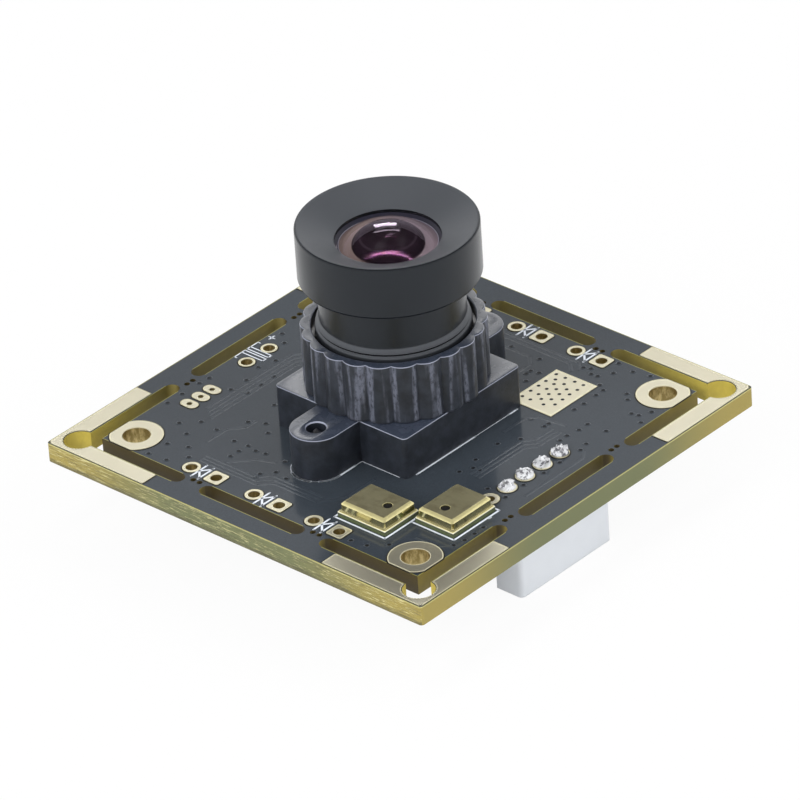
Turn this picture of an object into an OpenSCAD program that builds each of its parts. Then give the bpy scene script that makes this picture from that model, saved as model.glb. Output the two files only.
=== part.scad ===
// Camera module on a square circuit board. A screw-in lens barrel stands in a ribbed holder,
// with two microphones and plated pads beside it and a plug socket on the underside.
// Origin: centre of the four mounting holes, on the underside of the board.
// +Z runs along the lens axis, away from the board. The socket is on the -Y side.

/* [Board] */
// Side of the square board, over its break-away rim
board_side = 38; // [37.6:0.1:40]
// Thickness of the board
board_t = 1.6; // [1:0.1:2]
// Radius of the board's outer corners
board_corner_r = 0.3; // [0.3:0.1:1.2]
// Side of the inner board, inside the rim slots
core_side = 32; // [31.6:0.1:32.2]
// Width of the rim slots
slot_w = 1.25; // [0.9:0.05:1.4]
// Length of the middle slot of each side
mid_slot_len = 10.3; // [8:0.1:12]
// Width of the bridges that hold the rim
bridge_w = 1.85; // [1.4:0.05:2.4]
// Diameter of the snap-off holes in a bridge
bite_d = 0.45; // [0.3:0.05:0.55]
// Distance between the two snap-off holes of a bridge
bite_pitch = 0.65; // [0.6:0.05:0.8]
// Distance between the rim's corner holes, along a side
rim_hole_spacing = 34.4; // [33.6:0.1:34.6]
// Diameter of the rim's corner holes
rim_hole_d = 2.5; // [1.8:0.1:2.6]

/* [Mounting] */
// Distance between the mounting holes, along a side
hole_spacing = 28.3; // [27:0.1:28.4]
// Diameter of a mounting hole, inside its plating
hole_d = 2.2; // [2:0.1:2.6]
// Diameter of the plated land round a mounting hole
land_d = 4.15; // [3.6:0.05:4.6]

/* [Pads] */
// Thickness of the exposed copper over the board
copper_t = 0.05; // [0.03:0.01:0.1]
// Wall of the plating inside a hole
plating_t = 0.04; // [0.03:0.01:0.06]
// Distance of the copper from the edges of the board and of the slots
copper_margin = 0.12; // [0.05:0.01:0.2]
// Reach of a corner strip, from the outer edge of the board
strip_len = 9.9; // [6:0.1:11]
// Distance of the lamp pads from the middle of the board
lamp_x = 14.97; // [14.4:0.01:15.1]
// Distance from the middle pair of lamp pads to the upper pair
lamp_up = 6.4; // [5:0.05:6.6]
// Distance from the middle pair of lamp pads to the lower pair
lamp_down = 6.05; // [5:0.05:6.4]
// Distance between the two leads of a lamp
lead_pitch = 2.54; // [2.2:0.02:2.8]
// Diameter of a round lamp pad
round_pad_d = 1.42; // [1.2:0.02:1.6]
// Side of a square lamp pad
square_pad_side = 1.48; // [1.2:0.02:1.6]
// Diameter of a lead hole
lead_hole_d = 0.94; // [0.6:0.02:1]
// Diameter of an upper pad
upper_pad_d = 1.32; // [1.2:0.02:1.6]
// Place of the upper pads' middle along X
upper_pad_x = -0.08; // [-0.2:0.02:0.2]
// Distance of the upper pads from the middle of the board
upper_pad_y = 14.58; // [14.2:0.02:14.8]
// Length of an oval pad
oval_len = 1.56; // [1.4:0.02:2]
// Width of an oval pad
oval_w = 0.96; // [0.8:0.02:1.14]
// Distance between the oval pads
oval_pitch = 1.27; // [1.2:0.01:1.4]
// Diameter of the hole in an oval pad
oval_hole_d = 0.45; // [0.3:0.05:0.6]
// Length of the heat pad, along X
heat_pad_len = 5.2; // [4:0.05:5.4]
// Width of the heat pad, along Y
heat_pad_w = 3.9; // [3:0.1:4.4]
// Gap between the heat pad and the foot of the holder
heat_pad_gap = 0.08; // [0.05:0.01:0.4]
// Cut corner of the heat pad
heat_pad_cut = 0.95; // [0.5:0.05:1.5]

/* [Holder] */
// Side of the holder's square foot
foot_side = 13.2; // [12.8:0.1:14]
// Height of the foot and the ears
foot_h = 3.55; // [3:0.05:4]
// Radius of the foot's upright corners
foot_corner_r = 0.4; // [0.2:0.05:0.7]
// Height of the holder's rim over the board
rim_h = 8.5; // [7.5:0.1:9.5]
// Radius over the ribs
rib_tip_r = 7.1; // [6.95:0.01:7.3]
// Depth of the valleys between the ribs
rib_depth = 0.32; // [0.15:0.01:0.35]
// Number of ribs
rib_n = 22; // [18:1:26]
// Turn of the first rib from +X, in degrees
rib_turn = 15.65; // [0:0.05:18]
// Distance of an ear's screw from the side of the foot
ear_reach = 2.55; // [2.2:0.05:3]
// Radius of an ear
ear_r = 2.03; // [1.7:0.01:2.3]
// Diameter of the screw hole in an ear
ear_hole_d = 1.56; // [1.3:0.01:1.8]
// Nominal diameter of the lens thread
thread_d = 12; // [11.6:0.1:12.2]
// Diameter of the plain mouth over the thread
mouth_d = 12.5; // [12.3:0.1:12.7]
// Depth of the plain mouth
mouth_depth = 0.9; // [0.4:0.1:1.5]
// Side of the pocket for the image sensor
pocket_side = 10.7; // [9.8:0.1:11.2]
// Depth of the pocket
pocket_h = 1.7; // [1.6:0.05:1.9]
// Thickness of the web between the pocket and the thread
web_t = 0.8; // [0.7:0.05:1]

/* [Lens barrel] */
// Radial play of the lens in its thread
thread_play = 0.05; // [0.03:0.01:0.08]
// Distance of the lens from the web under it
lens_gap = 0.5; // [0.3:0.05:0.9]
// Length of the threaded end
thread_len = 5.7; // [5:0.1:7]
// Radius of the neck
neck_r = 5.6; // [5.3:0.05:5.7]
// Length of the neck
neck_len = 3.95; // [3.5:0.05:5]
// Fillet between the neck and the thread
neck_fillet = 0.6; // [0.3:0.05:0.8]
// Radius of the hood
hood_r = 7; // [6.6:0.05:7.6]
// Length of the hood
hood_len = 4.3; // [3.9:0.05:4.6]
// Radius of the hood's front edge
hood_edge_r = 0.15; // [0.1:0.05:0.4]
// Depth of the funnel in the hood
funnel_depth = 1.19; // [0.9:0.01:1.4]
// Radius of the window at the bottom of the funnel
window_r = 4.05; // [3.6:0.05:4.3]
// Depth of the window's wall, down to the front lens
window_depth = 0.55; // [0.4:0.05:0.8]

/* [Lens stack] */
// Radius of the glass elements
glass_r = 4.65; // [4.4:0.05:4.9]
// Radial play of the glass in the barrel
glass_play = 0.05; // [0.03:0.01:0.08]
// Edge thickness of the front lens
front_edge_t = 0.9; // [0.8:0.05:1.2]
// Width of the flat rim round the front lens's dome, inside the window
front_flat = 0.3; // [0.1:0.05:0.4]
// Rise of the front lens's dome over its edge
front_rise = 1.4; // [1.3:0.05:1.5]
// Radius of the hollow behind the front lens
hollow_r = 2.35; // [2.2:0.05:2.6]
// Depth of the hollow behind the front lens
hollow_depth = 1.9; // [1.6:0.05:2]
// Thickness of the front spacer
front_spacer_t = 0.3; // [0.2:0.05:0.6]
// Edge thickness of the second lens
second_edge_t = 1.7; // [1.4:0.1:2]
// Radius of the second lens's dome, inside the hollow of the front lens
second_dome_r = 1.3; // [1:0.05:1.6]
// Rise of the second lens's dome
second_rise = 1.1; // [0.8:0.05:1.3]
// Thickness of the aperture plate
aperture_t = 0.3; // [0.2:0.05:0.5]
// Radius of the aperture
aperture_r = 0.95; // [0.6:0.05:1.3]
// Thickness of the third lens
third_t = 2.4; // [2:0.1:2.6]
// Thickness of the rear lens
rear_t = 1.9; // [1.6:0.1:2.2]
// Length of the retaining ring
retainer_len = 1.3; // [1:0.1:1.6]
// Clear radius of the spacer and the retaining ring
clear_r = 3.4; // [3:0.1:3.7]
// Margin of a rear dome inside the ring round it
dome_margin = 0.08; // [0.05:0.01:0.15]

/* [Sensor] */
// Side of the sensor package
sensor_side = 8.6; // [8:0.1:9]
// Thickness of the sensor package
sensor_t = 0.9; // [0.8:0.05:1]
// Side of the cavity for the sensor chip
sensor_cavity = 6.6; // [6.2:0.1:6.8]
// Depth of the cavity
sensor_cavity_t = 0.55; // [0.5:0.05:0.6]
// Length of the sensor chip
sensor_chip_len = 5.8; // [5:0.1:6]
// Width of the sensor chip
sensor_chip_w = 4.4; // [3.6:0.1:5]
// Thickness of the sensor chip
sensor_chip_t = 0.35; // [0.2:0.05:0.4]
// Side of the sensor's cover glass
cover_side = 7.6; // [7:0.1:7.9]
// Thickness of the cover glass
cover_t = 0.4; // [0.3:0.05:0.5]
// Side of the colour filter
filter_side = 8.6; // [8:0.1:9]
// Thickness of the colour filter
filter_t = 0.3; // [0.2:0.05:0.4]
// Play round the colour filter in its seat
filter_play = 0.1; // [0.05:0.05:0.2]
// Side of the window over the filter
filter_window = 7; // [6:0.1:7.2]

/* [Microphones] */
// Length of a microphone
mic_len = 4.72; // [4:0.01:4.8]
// Width of a microphone
mic_w = 3.76; // [3:0.01:3.8]
// Thickness of a microphone's base
mic_base_t = 0.42; // [0.3:0.01:0.6]
// Height of a microphone's metal can
mic_can_h = 0.88; // [0.7:0.01:1.1]
// Wall of the can
mic_wall = 0.12; // [0.08:0.01:0.15]
// Distance of the can's foot from the edge of the base
mic_inset = 0.06; // [0.03:0.01:0.1]
// Width of the can's foot
mic_foot_w = 0.09; // [0.05:0.01:0.12]
// Thickness of the can's foot
mic_foot_t = 0.14; // [0.1:0.01:0.2]
// Bevel round the top of the can
mic_bevel = 0.24; // [0.15:0.01:0.3]
// Diameter of the sound hole
mic_port_d = 0.78; // [0.5:0.02:0.9]
// Distance of the sound hole from the middle of the can
mic_port_off = 1.03; // [0.8:0.01:1.1]

/* [Plug socket] */
// Number of contacts
pin_n = 4; // [2:1:5]
// Distance between the contacts
pin_pitch = 2; // [1.8:0.05:2.1]
// Place of the contacts along X
pin_x = 0.1; // [-0.2:0.05:0.3]
// Place of the contacts along Y
pin_y = -13.35; // [-13.5:0.05:-13]
// Side of a contact
pin_side = 0.5; // [0.4:0.02:0.6]
// Diameter of a contact's hole in the board
pin_hole_d = 0.8; // [0.76:0.02:1]
// Diameter of a contact's pad
pin_pad_d = 1.5; // [1.3:0.05:1.6]
// Housing length beyond the end contacts
housing_end = 2.15; // [1.9:0.05:2.4]
// Housing in front of the contacts
housing_front = 2.85; // [2.3:0.05:2.9]
// Housing behind the contacts
housing_back = 1.8; // [1.5:0.05:2]
// Height of the housing
housing_h = 6; // [5.6:0.1:7]
// Wall of the housing
housing_wall = 0.6; // [0.5:0.05:0.75]
// Floor of the housing
housing_floor = 1.1; // [0.8:0.1:1.5]
// Radius of the housing's upright corners
housing_r = 0.4; // [0.2:0.05:0.5]
// Width of the guide slots in the back wall
guide_w = 1; // [0.7:0.05:1.3]
// Depth of the guide slots
guide_h = 3.4; // [2.5:0.1:4]
// Width of the slots in the end walls
end_slot_w = 1.2; // [0.9:0.05:1.3]
// Distance of an end slot's middle behind the contacts
end_slot_back = 0.26; // [0.2:0.02:0.4]
// Length of the contacts inside the housing
pin_in = 3.7; // [3:0.1:4]
// Length of the contacts over the board
pin_out = 0.5; // [0.3:0.05:0.6]
// Height of a solder joint
joint_h = 0.62; // [0.4:0.02:0.8]
// Radius of a solder joint
joint_r = 0.68; // [0.55:0.01:0.72]

/* [Fasteners] */
// Diameter of the holder screws
screw_d = 1.5; // [1.3:0.05:1.5]
// Diameter of a screw head
screw_head_d = 3; // [2.6:0.1:3.4]
// Height of a screw head
screw_head_h = 1; // [0.8:0.05:1.2]
// Diameter of the board's hole for a screw
screw_hole_d = 1.9; // [1.7:0.05:2.1]
// Distance of a screw's tip from the top of its ear
screw_short = 0.2; // [0.1:0.05:0.5]
// Length of a screw's point
screw_point = 0.7; // [0.4:0.05:1]

/* [Underside parts] */
// Side of the image processor
cpu_side = 7; // [6.4:0.1:7.2]
// Thickness of the image processor
cpu_t = 1.3; // [1:0.05:1.5]
// Leads on each side of the processor
cpu_leads = 12; // [8:1:12]
// Distance between the processor's leads
cpu_lead_pitch = 0.5; // [0.45:0.01:0.52]
// Width of a processor lead
cpu_lead_w = 0.22; // [0.18:0.01:0.25]
// Reach of the processor's leads
cpu_lead_out = 1; // [0.8:0.05:1.1]
// Length of the memory chip
memory_len = 4.9; // [4.6:0.1:5.2]
// Width of the memory chip
memory_w = 3.9; // [3.6:0.1:4.2]
// Thickness of the memory chip
memory_t = 1.4; // [1.2:0.05:1.6]
// Distance between the memory chip's leads
memory_lead_pitch = 1.27; // [1.2:0.01:1.3]
// Width of a memory lead
memory_lead_w = 0.42; // [0.35:0.01:0.5]
// Reach of the memory chip's leads
memory_lead_out = 1.05; // [0.8:0.05:1.2]
// Length of a voltage regulator
regulator_len = 2.9; // [2.7:0.05:3.1]
// Width of a voltage regulator
regulator_w = 1.6; // [1.4:0.05:1.8]
// Thickness of a voltage regulator
regulator_t = 1; // [0.9:0.05:1.2]
// Distance between a regulator's leads
regulator_lead_pitch = 0.95; // [0.85:0.05:1]
// Width of a regulator lead
regulator_lead_w = 0.4; // [0.3:0.05:0.5]
// Reach of a regulator's leads
regulator_lead_out = 0.6; // [0.5:0.05:0.8]
// Length of the crystal
crystal_len = 5; // [4.6:0.1:5.4]
// Width of the crystal
crystal_w = 3.2; // [2.8:0.1:3.6]
// Thickness of the crystal's base
crystal_base_t = 0.45; // [0.3:0.05:0.6]
// Thickness of the crystal's lid
crystal_lid_t = 0.55; // [0.4:0.05:0.7]
// Length of a chip capacitor or resistor
chip_len = 1.6; // [1.4:0.05:1.8]
// Width of a chip capacitor or resistor
chip_w = 0.8; // [0.7:0.05:0.9]
// Length of a chip's metal end
chip_end = 0.3; // [0.2:0.05:0.4]
// Thickness of a chip capacitor
capacitor_t = 0.8; // [0.5:0.05:0.9]
// Thickness of a chip resistor
resistor_t = 0.45; // [0.35:0.05:0.6]

/* [Hidden] */
$fn = 64;
// Overlap of a cutting shape past the face that it cuts
over = 0.5;

// Half sizes of the board
core_half = core_side / 2;
board_half = board_side / 2;
slot_mid = core_half + slot_w / 2;
slot_out = core_half + slot_w;
corner_slot_start = mid_slot_len / 2 + bridge_w;
hole_at = hole_spacing / 2;
rim_hole_at = rim_hole_spacing / 2;
// Outward offset of the snap-off holes from the edge of the inner board
bite_out = 0.15;

// Places of the pads
oval_y = 14;
oval_x = -7.16;
heat_pad_x = foot_side / 2 + heat_pad_gap + heat_pad_len / 2;
heat_pad_y = -7.41;
// Places of the pairs of lamp pads along Y
lamp_rows = [lamp_up, 0, -lamp_down];
square_corner_r = 0.2;

// Heights over the underside of the board
top = board_t;
pocket_top = top + pocket_h;
seat_top = pocket_top + filter_t;
web_top = pocket_top + web_t;
foot_top = top + foot_h;
rim_top = top + rim_h;
ear_x = foot_side / 2 + ear_reach;

// Places along the lens
lens_back = web_top + lens_gap;
thread_top = lens_back + thread_len;
hood_back = thread_top + neck_len;
hood_top = hood_back + hood_len;
funnel_r = hood_r - hood_edge_r;
window_top = hood_top - funnel_depth;
glass_top = window_top - window_depth;
thread_r = thread_d / 2 - thread_play;
barrel_bore_r = glass_r + glass_play;
// Chamfer on both ends of the lens thread
thread_chamfer = 0.15;
lead_chamfer = 0.4;
// Angle at which the neck's fillet starts on the thread
fillet_start = 225;

// Places of the lens elements, from the front
front_back = glass_top - front_edge_t;
second_top = front_back - front_spacer_t;
second_back = second_top - second_edge_t;
aperture_back = second_back - aperture_t;
third_back = aperture_back - third_t;
retainer_back = lens_back + 0.2;
retainer_top = retainer_back + retainer_len;
rear_top = retainer_top + rear_t;
inner_hollow_r = 2.2;
inner_hollow_depth = 0.6;
third_rise = 0.5;
rear_rise = 0.35;

// Plug socket, which stands on the lands of its contacts
pin_row = (pin_n - 1) * pin_pitch;
housing_top = -copper_t;
housing_bottom = housing_top - housing_h;
cavity_top = housing_top - housing_floor;
housing_x0 = pin_x - pin_row / 2 - housing_end;
housing_len = pin_row + 2 * housing_end;
housing_y0 = pin_y - housing_front;
housing_w = housing_front + housing_back;

// Places of the microphones, from the edges of the inner board, and turn of the sound hole
left_mic = [4.46 - core_half, 7.85 - core_half, -90];
right_mic = [7.8 - core_half, 3.16 - core_half, 180];
mic_chip_side = 1.4;
mic_chip_t = 0.3;
mic_amp = [1.1, 0.9, 0.22];
mic_shell_gap = 0.15;

// Places of the parts on the underside
cpu_at = [9.2, -6.9, 0];
crystal_at = [1.2, -6.6, 90];
memory_at = [8.6, 7.8, 90];
regulator_at = [[-8.2, -6.4, 0], [-9.6, 6.6, 90]];
capacitor_at = [[-5.6, -6.4, 90], [-11.2, -6.4, 90], [-8.2, -9.8, 0], [-6.6, 6.6, 90],
                [-12.6, 6.6, 90], [-9.6, 10.2, 0], [9.2, -13, 0], [6.6, -12.8, 90],
                [3.6, -10.3, 0], [4.2, -1.6, 90], [2.4, 8.4, 0], [-2, 8.4, 0]];
resistor_at = [[-2.6, -4.6, 90], [-2.6, -7.4, 90], [-4.4, -10.1, 0], [-1.2, -10.1, 0],
               [4.2, 1.4, 90], [4.2, 4.2, 90], [-3.6, 3, 0], [-0.6, 3, 0], [12.8, 4.4, 90],
               [12.8, 8.2, 90], [-5.2, -2.2, 0]];
lead_t = 0.15;
stand_off = 0.1;
// Leads on each side of the memory chip
memory_leads_n = 4;

function sag(r, rise) = (r * r + rise * rise) / (2 * rise);
function rib_r(tip, low, a) =
    (low * low - 2 * low * tip * cos(a) + tip * tip) / (2 * (tip - low * cos(a)));
function arc(cx, cy, r, a0, a1, n) =
    [for (i = [0:n]) let (a = a0 + (a1 - a0) * i / n) [cx + r * cos(a), cy + r * sin(a)]];

module rounded_square(side, r) {
    square([side, side - 2 * r], center = true);
    square([side - 2 * r, side], center = true);
    for (x = [-1, 1], y = [-1, 1])
        translate([x * (side / 2 - r), y * (side / 2 - r)]) circle(r = r);
}

module rounded_rect(len, w, r) {
    square([len, w - 2 * r], center = true);
    square([len - 2 * r, w], center = true);
    for (x = [-1, 1], y = [-1, 1])
        translate([x * (len / 2 - r), y * (w / 2 - r)]) circle(r = r);
}

module stadium(len, w) {
    square([len - w, w], center = true);
    for (x = [-1, 1]) translate([x * (len - w) / 2, 0]) circle(d = w);
}

module four_corners(at) {
    for (x = [-1, 1], y = [-1, 1]) translate([x * at, y * at]) children();
}

// Slots, corner holes and snap-off holes that let the rim break away
module rim_cuts() {
    for (turn = [0:90:270]) rotate(turn) {
        translate([0, slot_mid]) stadium(mid_slot_len, slot_w);
        for (side = [-1, 1]) {
            translate([side * (corner_slot_start + slot_mid + slot_w / 2) / 2, slot_mid])
                stadium(slot_mid + slot_w / 2 - corner_slot_start, slot_w);
            for (k = [-1, 1])
                translate([side * (mid_slot_len + bridge_w) / 2 + k * bite_pitch / 2,
                           core_half + bite_out])
                    circle(d = bite_d, $fn = 24);
        }
    }
    four_corners(rim_hole_at) circle(d = rim_hole_d);
}

// Places of one of the two leads (1 or -1) of each lamp
module lamp_places(lead) {
    for (side = [-1, 1], row = lamp_rows)
        translate([side * lamp_x, row + lead * lead_pitch / 2]) children();
}

module upper_places() {
    for (side = [-1, 1]) translate([upper_pad_x + side * lead_pitch / 2, upper_pad_y]) children();
}

module oval_places() {
    for (k = [-1:1]) translate([oval_x + k * oval_pitch, oval_y]) children();
}

// Contact holes: one for each contact and a spare one on the -X side
module pin_places(first) {
    for (k = [first:pin_n - 1])
        translate([pin_x - pin_row / 2 + k * pin_pitch, pin_y]) children();
}

module drilled(d) {
    circle(d = d + 2 * plating_t, $fn = 32);
}

module circuit_board() {
    color([0.27, 0.29, 0.34])
        linear_extrude(board_t) difference() {
            rounded_square(board_side, board_corner_r);
            rim_cuts();
            four_corners(hole_at) drilled(hole_d);
            for (lead = [-1, 1]) lamp_places(lead) drilled(lead_hole_d);
            upper_places() drilled(lead_hole_d);
            oval_places() drilled(oval_hole_d);
            pin_places(-1) drilled(pin_hole_d);
            for (side = [-1, 1]) translate([side * ear_x, 0]) circle(d = screw_hole_d);
        }
}

// One plated hole: a flat land on each face, joined by the plating of its wall
module plated_hole(d) {
    difference() {
        union() {
            for (z = [-copper_t, board_t])
                translate([0, 0, z]) linear_extrude(copper_t) children();
            translate([0, 0, -copper_t])
                cylinder(d = d + 2 * plating_t, h = board_t + 2 * copper_t, $fn = 32);
        }
        translate([0, 0, -over]) cylinder(d = d, h = board_t + 2 * over, $fn = 32);
    }
}

// Land of a mounting hole, cut flat along the edges of the inner board
module mounting_land(x, y) {
    intersection() {
        circle(d = land_d);
        translate([-x, -y]) square(core_side - copper_margin, center = true);
    }
}

module corner_strip() {
    reach = board_half - strip_len;
    linear_extrude(copper_t) difference() {
        intersection() {
            rounded_square(board_side - 2 * copper_margin, board_corner_r - copper_margin);
            translate([reach, reach]) square(board_side);
        }
        square(2 * (slot_out + copper_margin), center = true);
        translate([rim_hole_at, rim_hole_at]) circle(d = rim_hole_d + copper_margin);
    }
}

module heat_pad() {
    x = heat_pad_len / 2;
    y = heat_pad_w / 2;
    translate([heat_pad_x, heat_pad_y, top]) linear_extrude(copper_t)
        polygon([[-x, -y], [x, -y], [x, y], [-x + heat_pad_cut, y], [-x, y - heat_pad_cut]]);
}

module copper_pads() {
    color([0.86, 0.80, 0.62]) {
        for (turn = [0:90:270]) rotate(turn) translate([0, 0, top]) corner_strip();
        for (x = [-1, 1], y = [-1, 1])
            translate([x * hole_at, y * hole_at])
                plated_hole(hole_d) mounting_land(x * hole_at, y * hole_at);
        lamp_places(1) plated_hole(lead_hole_d) circle(d = round_pad_d);
        lamp_places(-1) plated_hole(lead_hole_d) rounded_square(square_pad_side, square_corner_r);
        upper_places() plated_hole(lead_hole_d) circle(d = upper_pad_d);
        oval_places() plated_hole(oval_hole_d) rotate(90) stadium(oval_len, oval_w);
        pin_places(-1) plated_hole(pin_hole_d) circle(d = pin_pad_d);
        heat_pad();
    }
}

// Outline of the ribbed barrel: round lobes that meet in sharp valleys
module ribs() {
    lobe = rib_r(rib_tip_r, rib_tip_r - rib_depth, 180 / rib_n);
    for (i = [0:rib_n - 1]) rotate(rib_turn + i * 360 / rib_n)
        translate([rib_tip_r - lobe, 0]) circle(r = lobe, $fn = 48);
    circle(r = rib_tip_r - lobe);
}

module foot_outline() {
    rounded_square(foot_side, foot_corner_r);
    for (side = [-1, 1]) {
        translate([side * ear_x, 0]) circle(r = ear_r);
        translate([side * ear_x / 2, 0]) square([ear_x, 2 * ear_r], center = true);
    }
}

module square_hole(side, z, h) {
    translate([-side / 2, -side / 2, z]) cube([side, side, h]);
}

module lens_holder() {
    // Chamfer round the mouth of an ear's hole
    ear_chamfer = 0.12;
    color([0.24, 0.25, 0.29]) difference() {
        union() {
            translate([0, 0, top]) linear_extrude(foot_h) foot_outline();
            translate([0, 0, foot_top]) linear_extrude(rim_h - foot_h) ribs();
        }
        square_hole(pocket_side, top - over, pocket_h + over);
        square_hole(filter_side + 2 * filter_play, pocket_top - over, filter_t + over);
        square_hole(filter_window, pocket_top, web_t + over);
        translate([0, 0, web_top]) cylinder(d = thread_d, h = rim_h, $fn = 96);
        translate([0, 0, rim_top - mouth_depth]) cylinder(d = mouth_d, h = rim_h, $fn = 96);
        for (side = [-1, 1]) translate([side * ear_x, 0, 0]) {
            translate([0, 0, top - over]) cylinder(d = ear_hole_d, h = foot_h + 2 * over, $fn = 32);
            translate([0, 0, foot_top - ear_chamfer])
                cylinder(d1 = ear_hole_d, d2 = ear_hole_d + 4 * ear_chamfer,
                         h = 2 * ear_chamfer, $fn = 32);
        }
    }
}

// Holder screw with a pan head under the board, a plain shank and a point
module screw() {
    tip = foot_top - screw_short;
    r = screw_d / 2;
    head_r = screw_head_d / 2;
    edge = screw_head_h / 3;
    recess_w = screw_head_d / 6;
    recess_len = screw_head_d / 2;
    difference() {
        rotate_extrude($fn = 48)
            polygon([[0, -screw_head_h], [head_r - edge, -screw_head_h],
                     [head_r, edge - screw_head_h], [head_r, 0], [r, 0],
                     [r, tip - screw_point], [0.1 * r, tip], [0, tip]]);
        for (turn = [0, 90]) rotate(turn)
            translate([-recess_len / 2, -recess_w / 2, -screw_head_h - over])
                cube([recess_len, recess_w, over + screw_head_h / 2]);
    }
}

module holder_screws() {
    color([0.62, 0.62, 0.64])
        for (side = [-1, 1]) translate([side * ear_x, 0, 0]) screw();
}

// Section of the barrel: threaded end, neck, hood and funnel outside, one straight bore inside
module barrel_section() {
    // Bevel on the back edge of the hood
    hood_bevel = 0.15;
    polygon(concat(
        [[barrel_bore_r, lens_back], [thread_r - lead_chamfer, lens_back],
         [thread_r, lens_back + lead_chamfer], [thread_r, thread_top - thread_chamfer]],
        arc(neck_r + neck_fillet, thread_top + neck_fillet, neck_fillet, fillet_start, 180, 6),
        [[neck_r, hood_back], [hood_r - hood_bevel, hood_back], [hood_r, hood_back + hood_bevel]],
        arc(hood_r - hood_edge_r, hood_top - hood_edge_r, hood_edge_r, 0, 90, 6),
        [[window_r, window_top], [window_r, glass_top], [barrel_bore_r, glass_top]]));
}

module lens_barrel() {
    color([0.16, 0.16, 0.17]) rotate_extrude($fn = 128) barrel_section();
}

// Round blank of an element
module blank(z, t) {
    translate([0, 0, z]) cylinder(r = glass_r, h = t, $fn = 96);
}

// Ball whose surface has radius r at height z and bulges upwards (dir 1) or downwards (dir -1)
module ball(z, r, rise, dir) {
    translate([0, 0, z + dir * (rise - sag(r, rise))]) sphere(r = sag(r, rise), $fn = 128);
}

// Dome that stands on height z, bulging upwards (dir 1) or downwards (dir -1)
module dome(z, r, rise, dir) {
    intersection() {
        translate([0, 0, dir > 0 ? z - over : z - rise])
            cylinder(r = r, h = rise + over, $fn = 96);
        ball(z, r, rise, dir);
    }
}

module front_lens() {
    color([0.30, 0.24, 0.34, 0.6]) difference() {
        union() {
            blank(front_back, front_edge_t);
            dome(glass_top, window_r - front_flat, front_rise, 1);
        }
        ball(front_back, hollow_r, hollow_depth, 1);
    }
}

module ring(z, h, inner_r) {
    difference() {
        blank(z, h);
        translate([0, 0, z - over]) cylinder(r = inner_r, h = h + 2 * over, $fn = 96);
    }
}

module front_spacer() {
    color([0.20, 0.18, 0.20]) ring(second_top, front_spacer_t, hollow_r);
}

module second_lens() {
    color([0.20, 0.16, 0.26, 0.7]) difference() {
        union() {
            blank(second_back, second_edge_t);
            dome(second_top, second_dome_r, second_rise, 1);
        }
        ball(second_back, inner_hollow_r, inner_hollow_depth, 1);
    }
}

module aperture_plate() {
    color([0.08, 0.08, 0.09]) ring(aperture_back, aperture_t, aperture_r);
}

module third_lens() {
    color([0.55, 0.58, 0.62, 0.6]) {
        blank(third_back, third_t);
        dome(third_back, clear_r - dome_margin, third_rise, -1);
    }
}

module rear_spacer() {
    color([0.10, 0.10, 0.11]) ring(rear_top, third_back - rear_top, clear_r);
}

module rear_lens() {
    color([0.55, 0.58, 0.62, 0.6]) {
        blank(retainer_top, rear_t);
        dome(rear_top, clear_r - dome_margin, rear_rise, 1);
    }
}

module retaining_ring() {
    // Two notches for the spanner that screws the ring in
    notch_w = 0.9;
    notch_h = 0.5;
    color([0.12, 0.12, 0.13]) difference() {
        ring(retainer_back, retainer_len, clear_r);
        translate([-glass_r - over, -notch_w / 2, retainer_back - over])
            cube([2 * (glass_r + over), notch_w, notch_h + over]);
    }
}

module colour_filter() {
    color([0.62, 0.80, 0.86, 0.6]) square_hole(filter_side, pocket_top, filter_t);
}

module sensor_package() {
    color([0.30, 0.30, 0.32]) difference() {
        square_hole(sensor_side, top, sensor_t);
        square_hole(sensor_cavity, top + sensor_t - sensor_cavity_t, sensor_cavity_t + over);
    }
}

module sensor_chip() {
    color([0.30, 0.38, 0.36])
        translate([-sensor_chip_len / 2, -sensor_chip_w / 2, top + sensor_t - sensor_cavity_t])
            cube([sensor_chip_len, sensor_chip_w, sensor_chip_t]);
}

module sensor_cover_glass() {
    color([0.75, 0.82, 0.84, 0.5]) square_hole(cover_side, top + sensor_t, cover_t);
}

module at_mic(place) {
    translate([place[0], place[1], top]) rotate(place[2]) children();
}

module mic_base() {
    color([0.30, 0.38, 0.26]) translate([-mic_len / 2, -mic_w / 2, 0])
        cube([mic_len, mic_w, mic_base_t]);
}

// Side view of a can: straight wall with a bevelled top
module can_side(w, h, bevel) {
    polygon([[-w / 2, 0], [w / 2, 0], [w / 2, h - bevel], [w / 2 - bevel, h],
             [bevel - w / 2, h], [-w / 2, h - bevel]]);
}

module can_block(len, w, h, bevel) {
    intersection() {
        rotate([90, 0, 0]) linear_extrude(2 * w, center = true) can_side(len, h, bevel);
        rotate([90, 0, 90]) linear_extrude(2 * len, center = true) can_side(w, h, bevel);
    }
}

// Drawn metal can with a flat foot, a bevelled roof and a sound hole towards +X
module mic_can() {
    foot_len = mic_len - 2 * mic_inset;
    foot_width = mic_w - 2 * mic_inset;
    wall_len = foot_len - 2 * mic_foot_w;
    wall_w = foot_width - 2 * mic_foot_w;
    color([0.72, 0.66, 0.45]) translate([0, 0, mic_base_t]) difference() {
        union() {
            translate([-foot_len / 2, -foot_width / 2, 0])
                cube([foot_len, foot_width, mic_foot_t]);
            can_block(wall_len, wall_w, mic_can_h, mic_bevel);
        }
        translate([0, 0, -over])
            can_block(wall_len - 2 * mic_wall, wall_w - 2 * mic_wall,
                      mic_can_h - mic_wall + over, mic_bevel);
        translate([mic_port_off, 0, 0]) cylinder(d = mic_port_d, h = 2 * mic_can_h, $fn = 32);
    }
}

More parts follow.
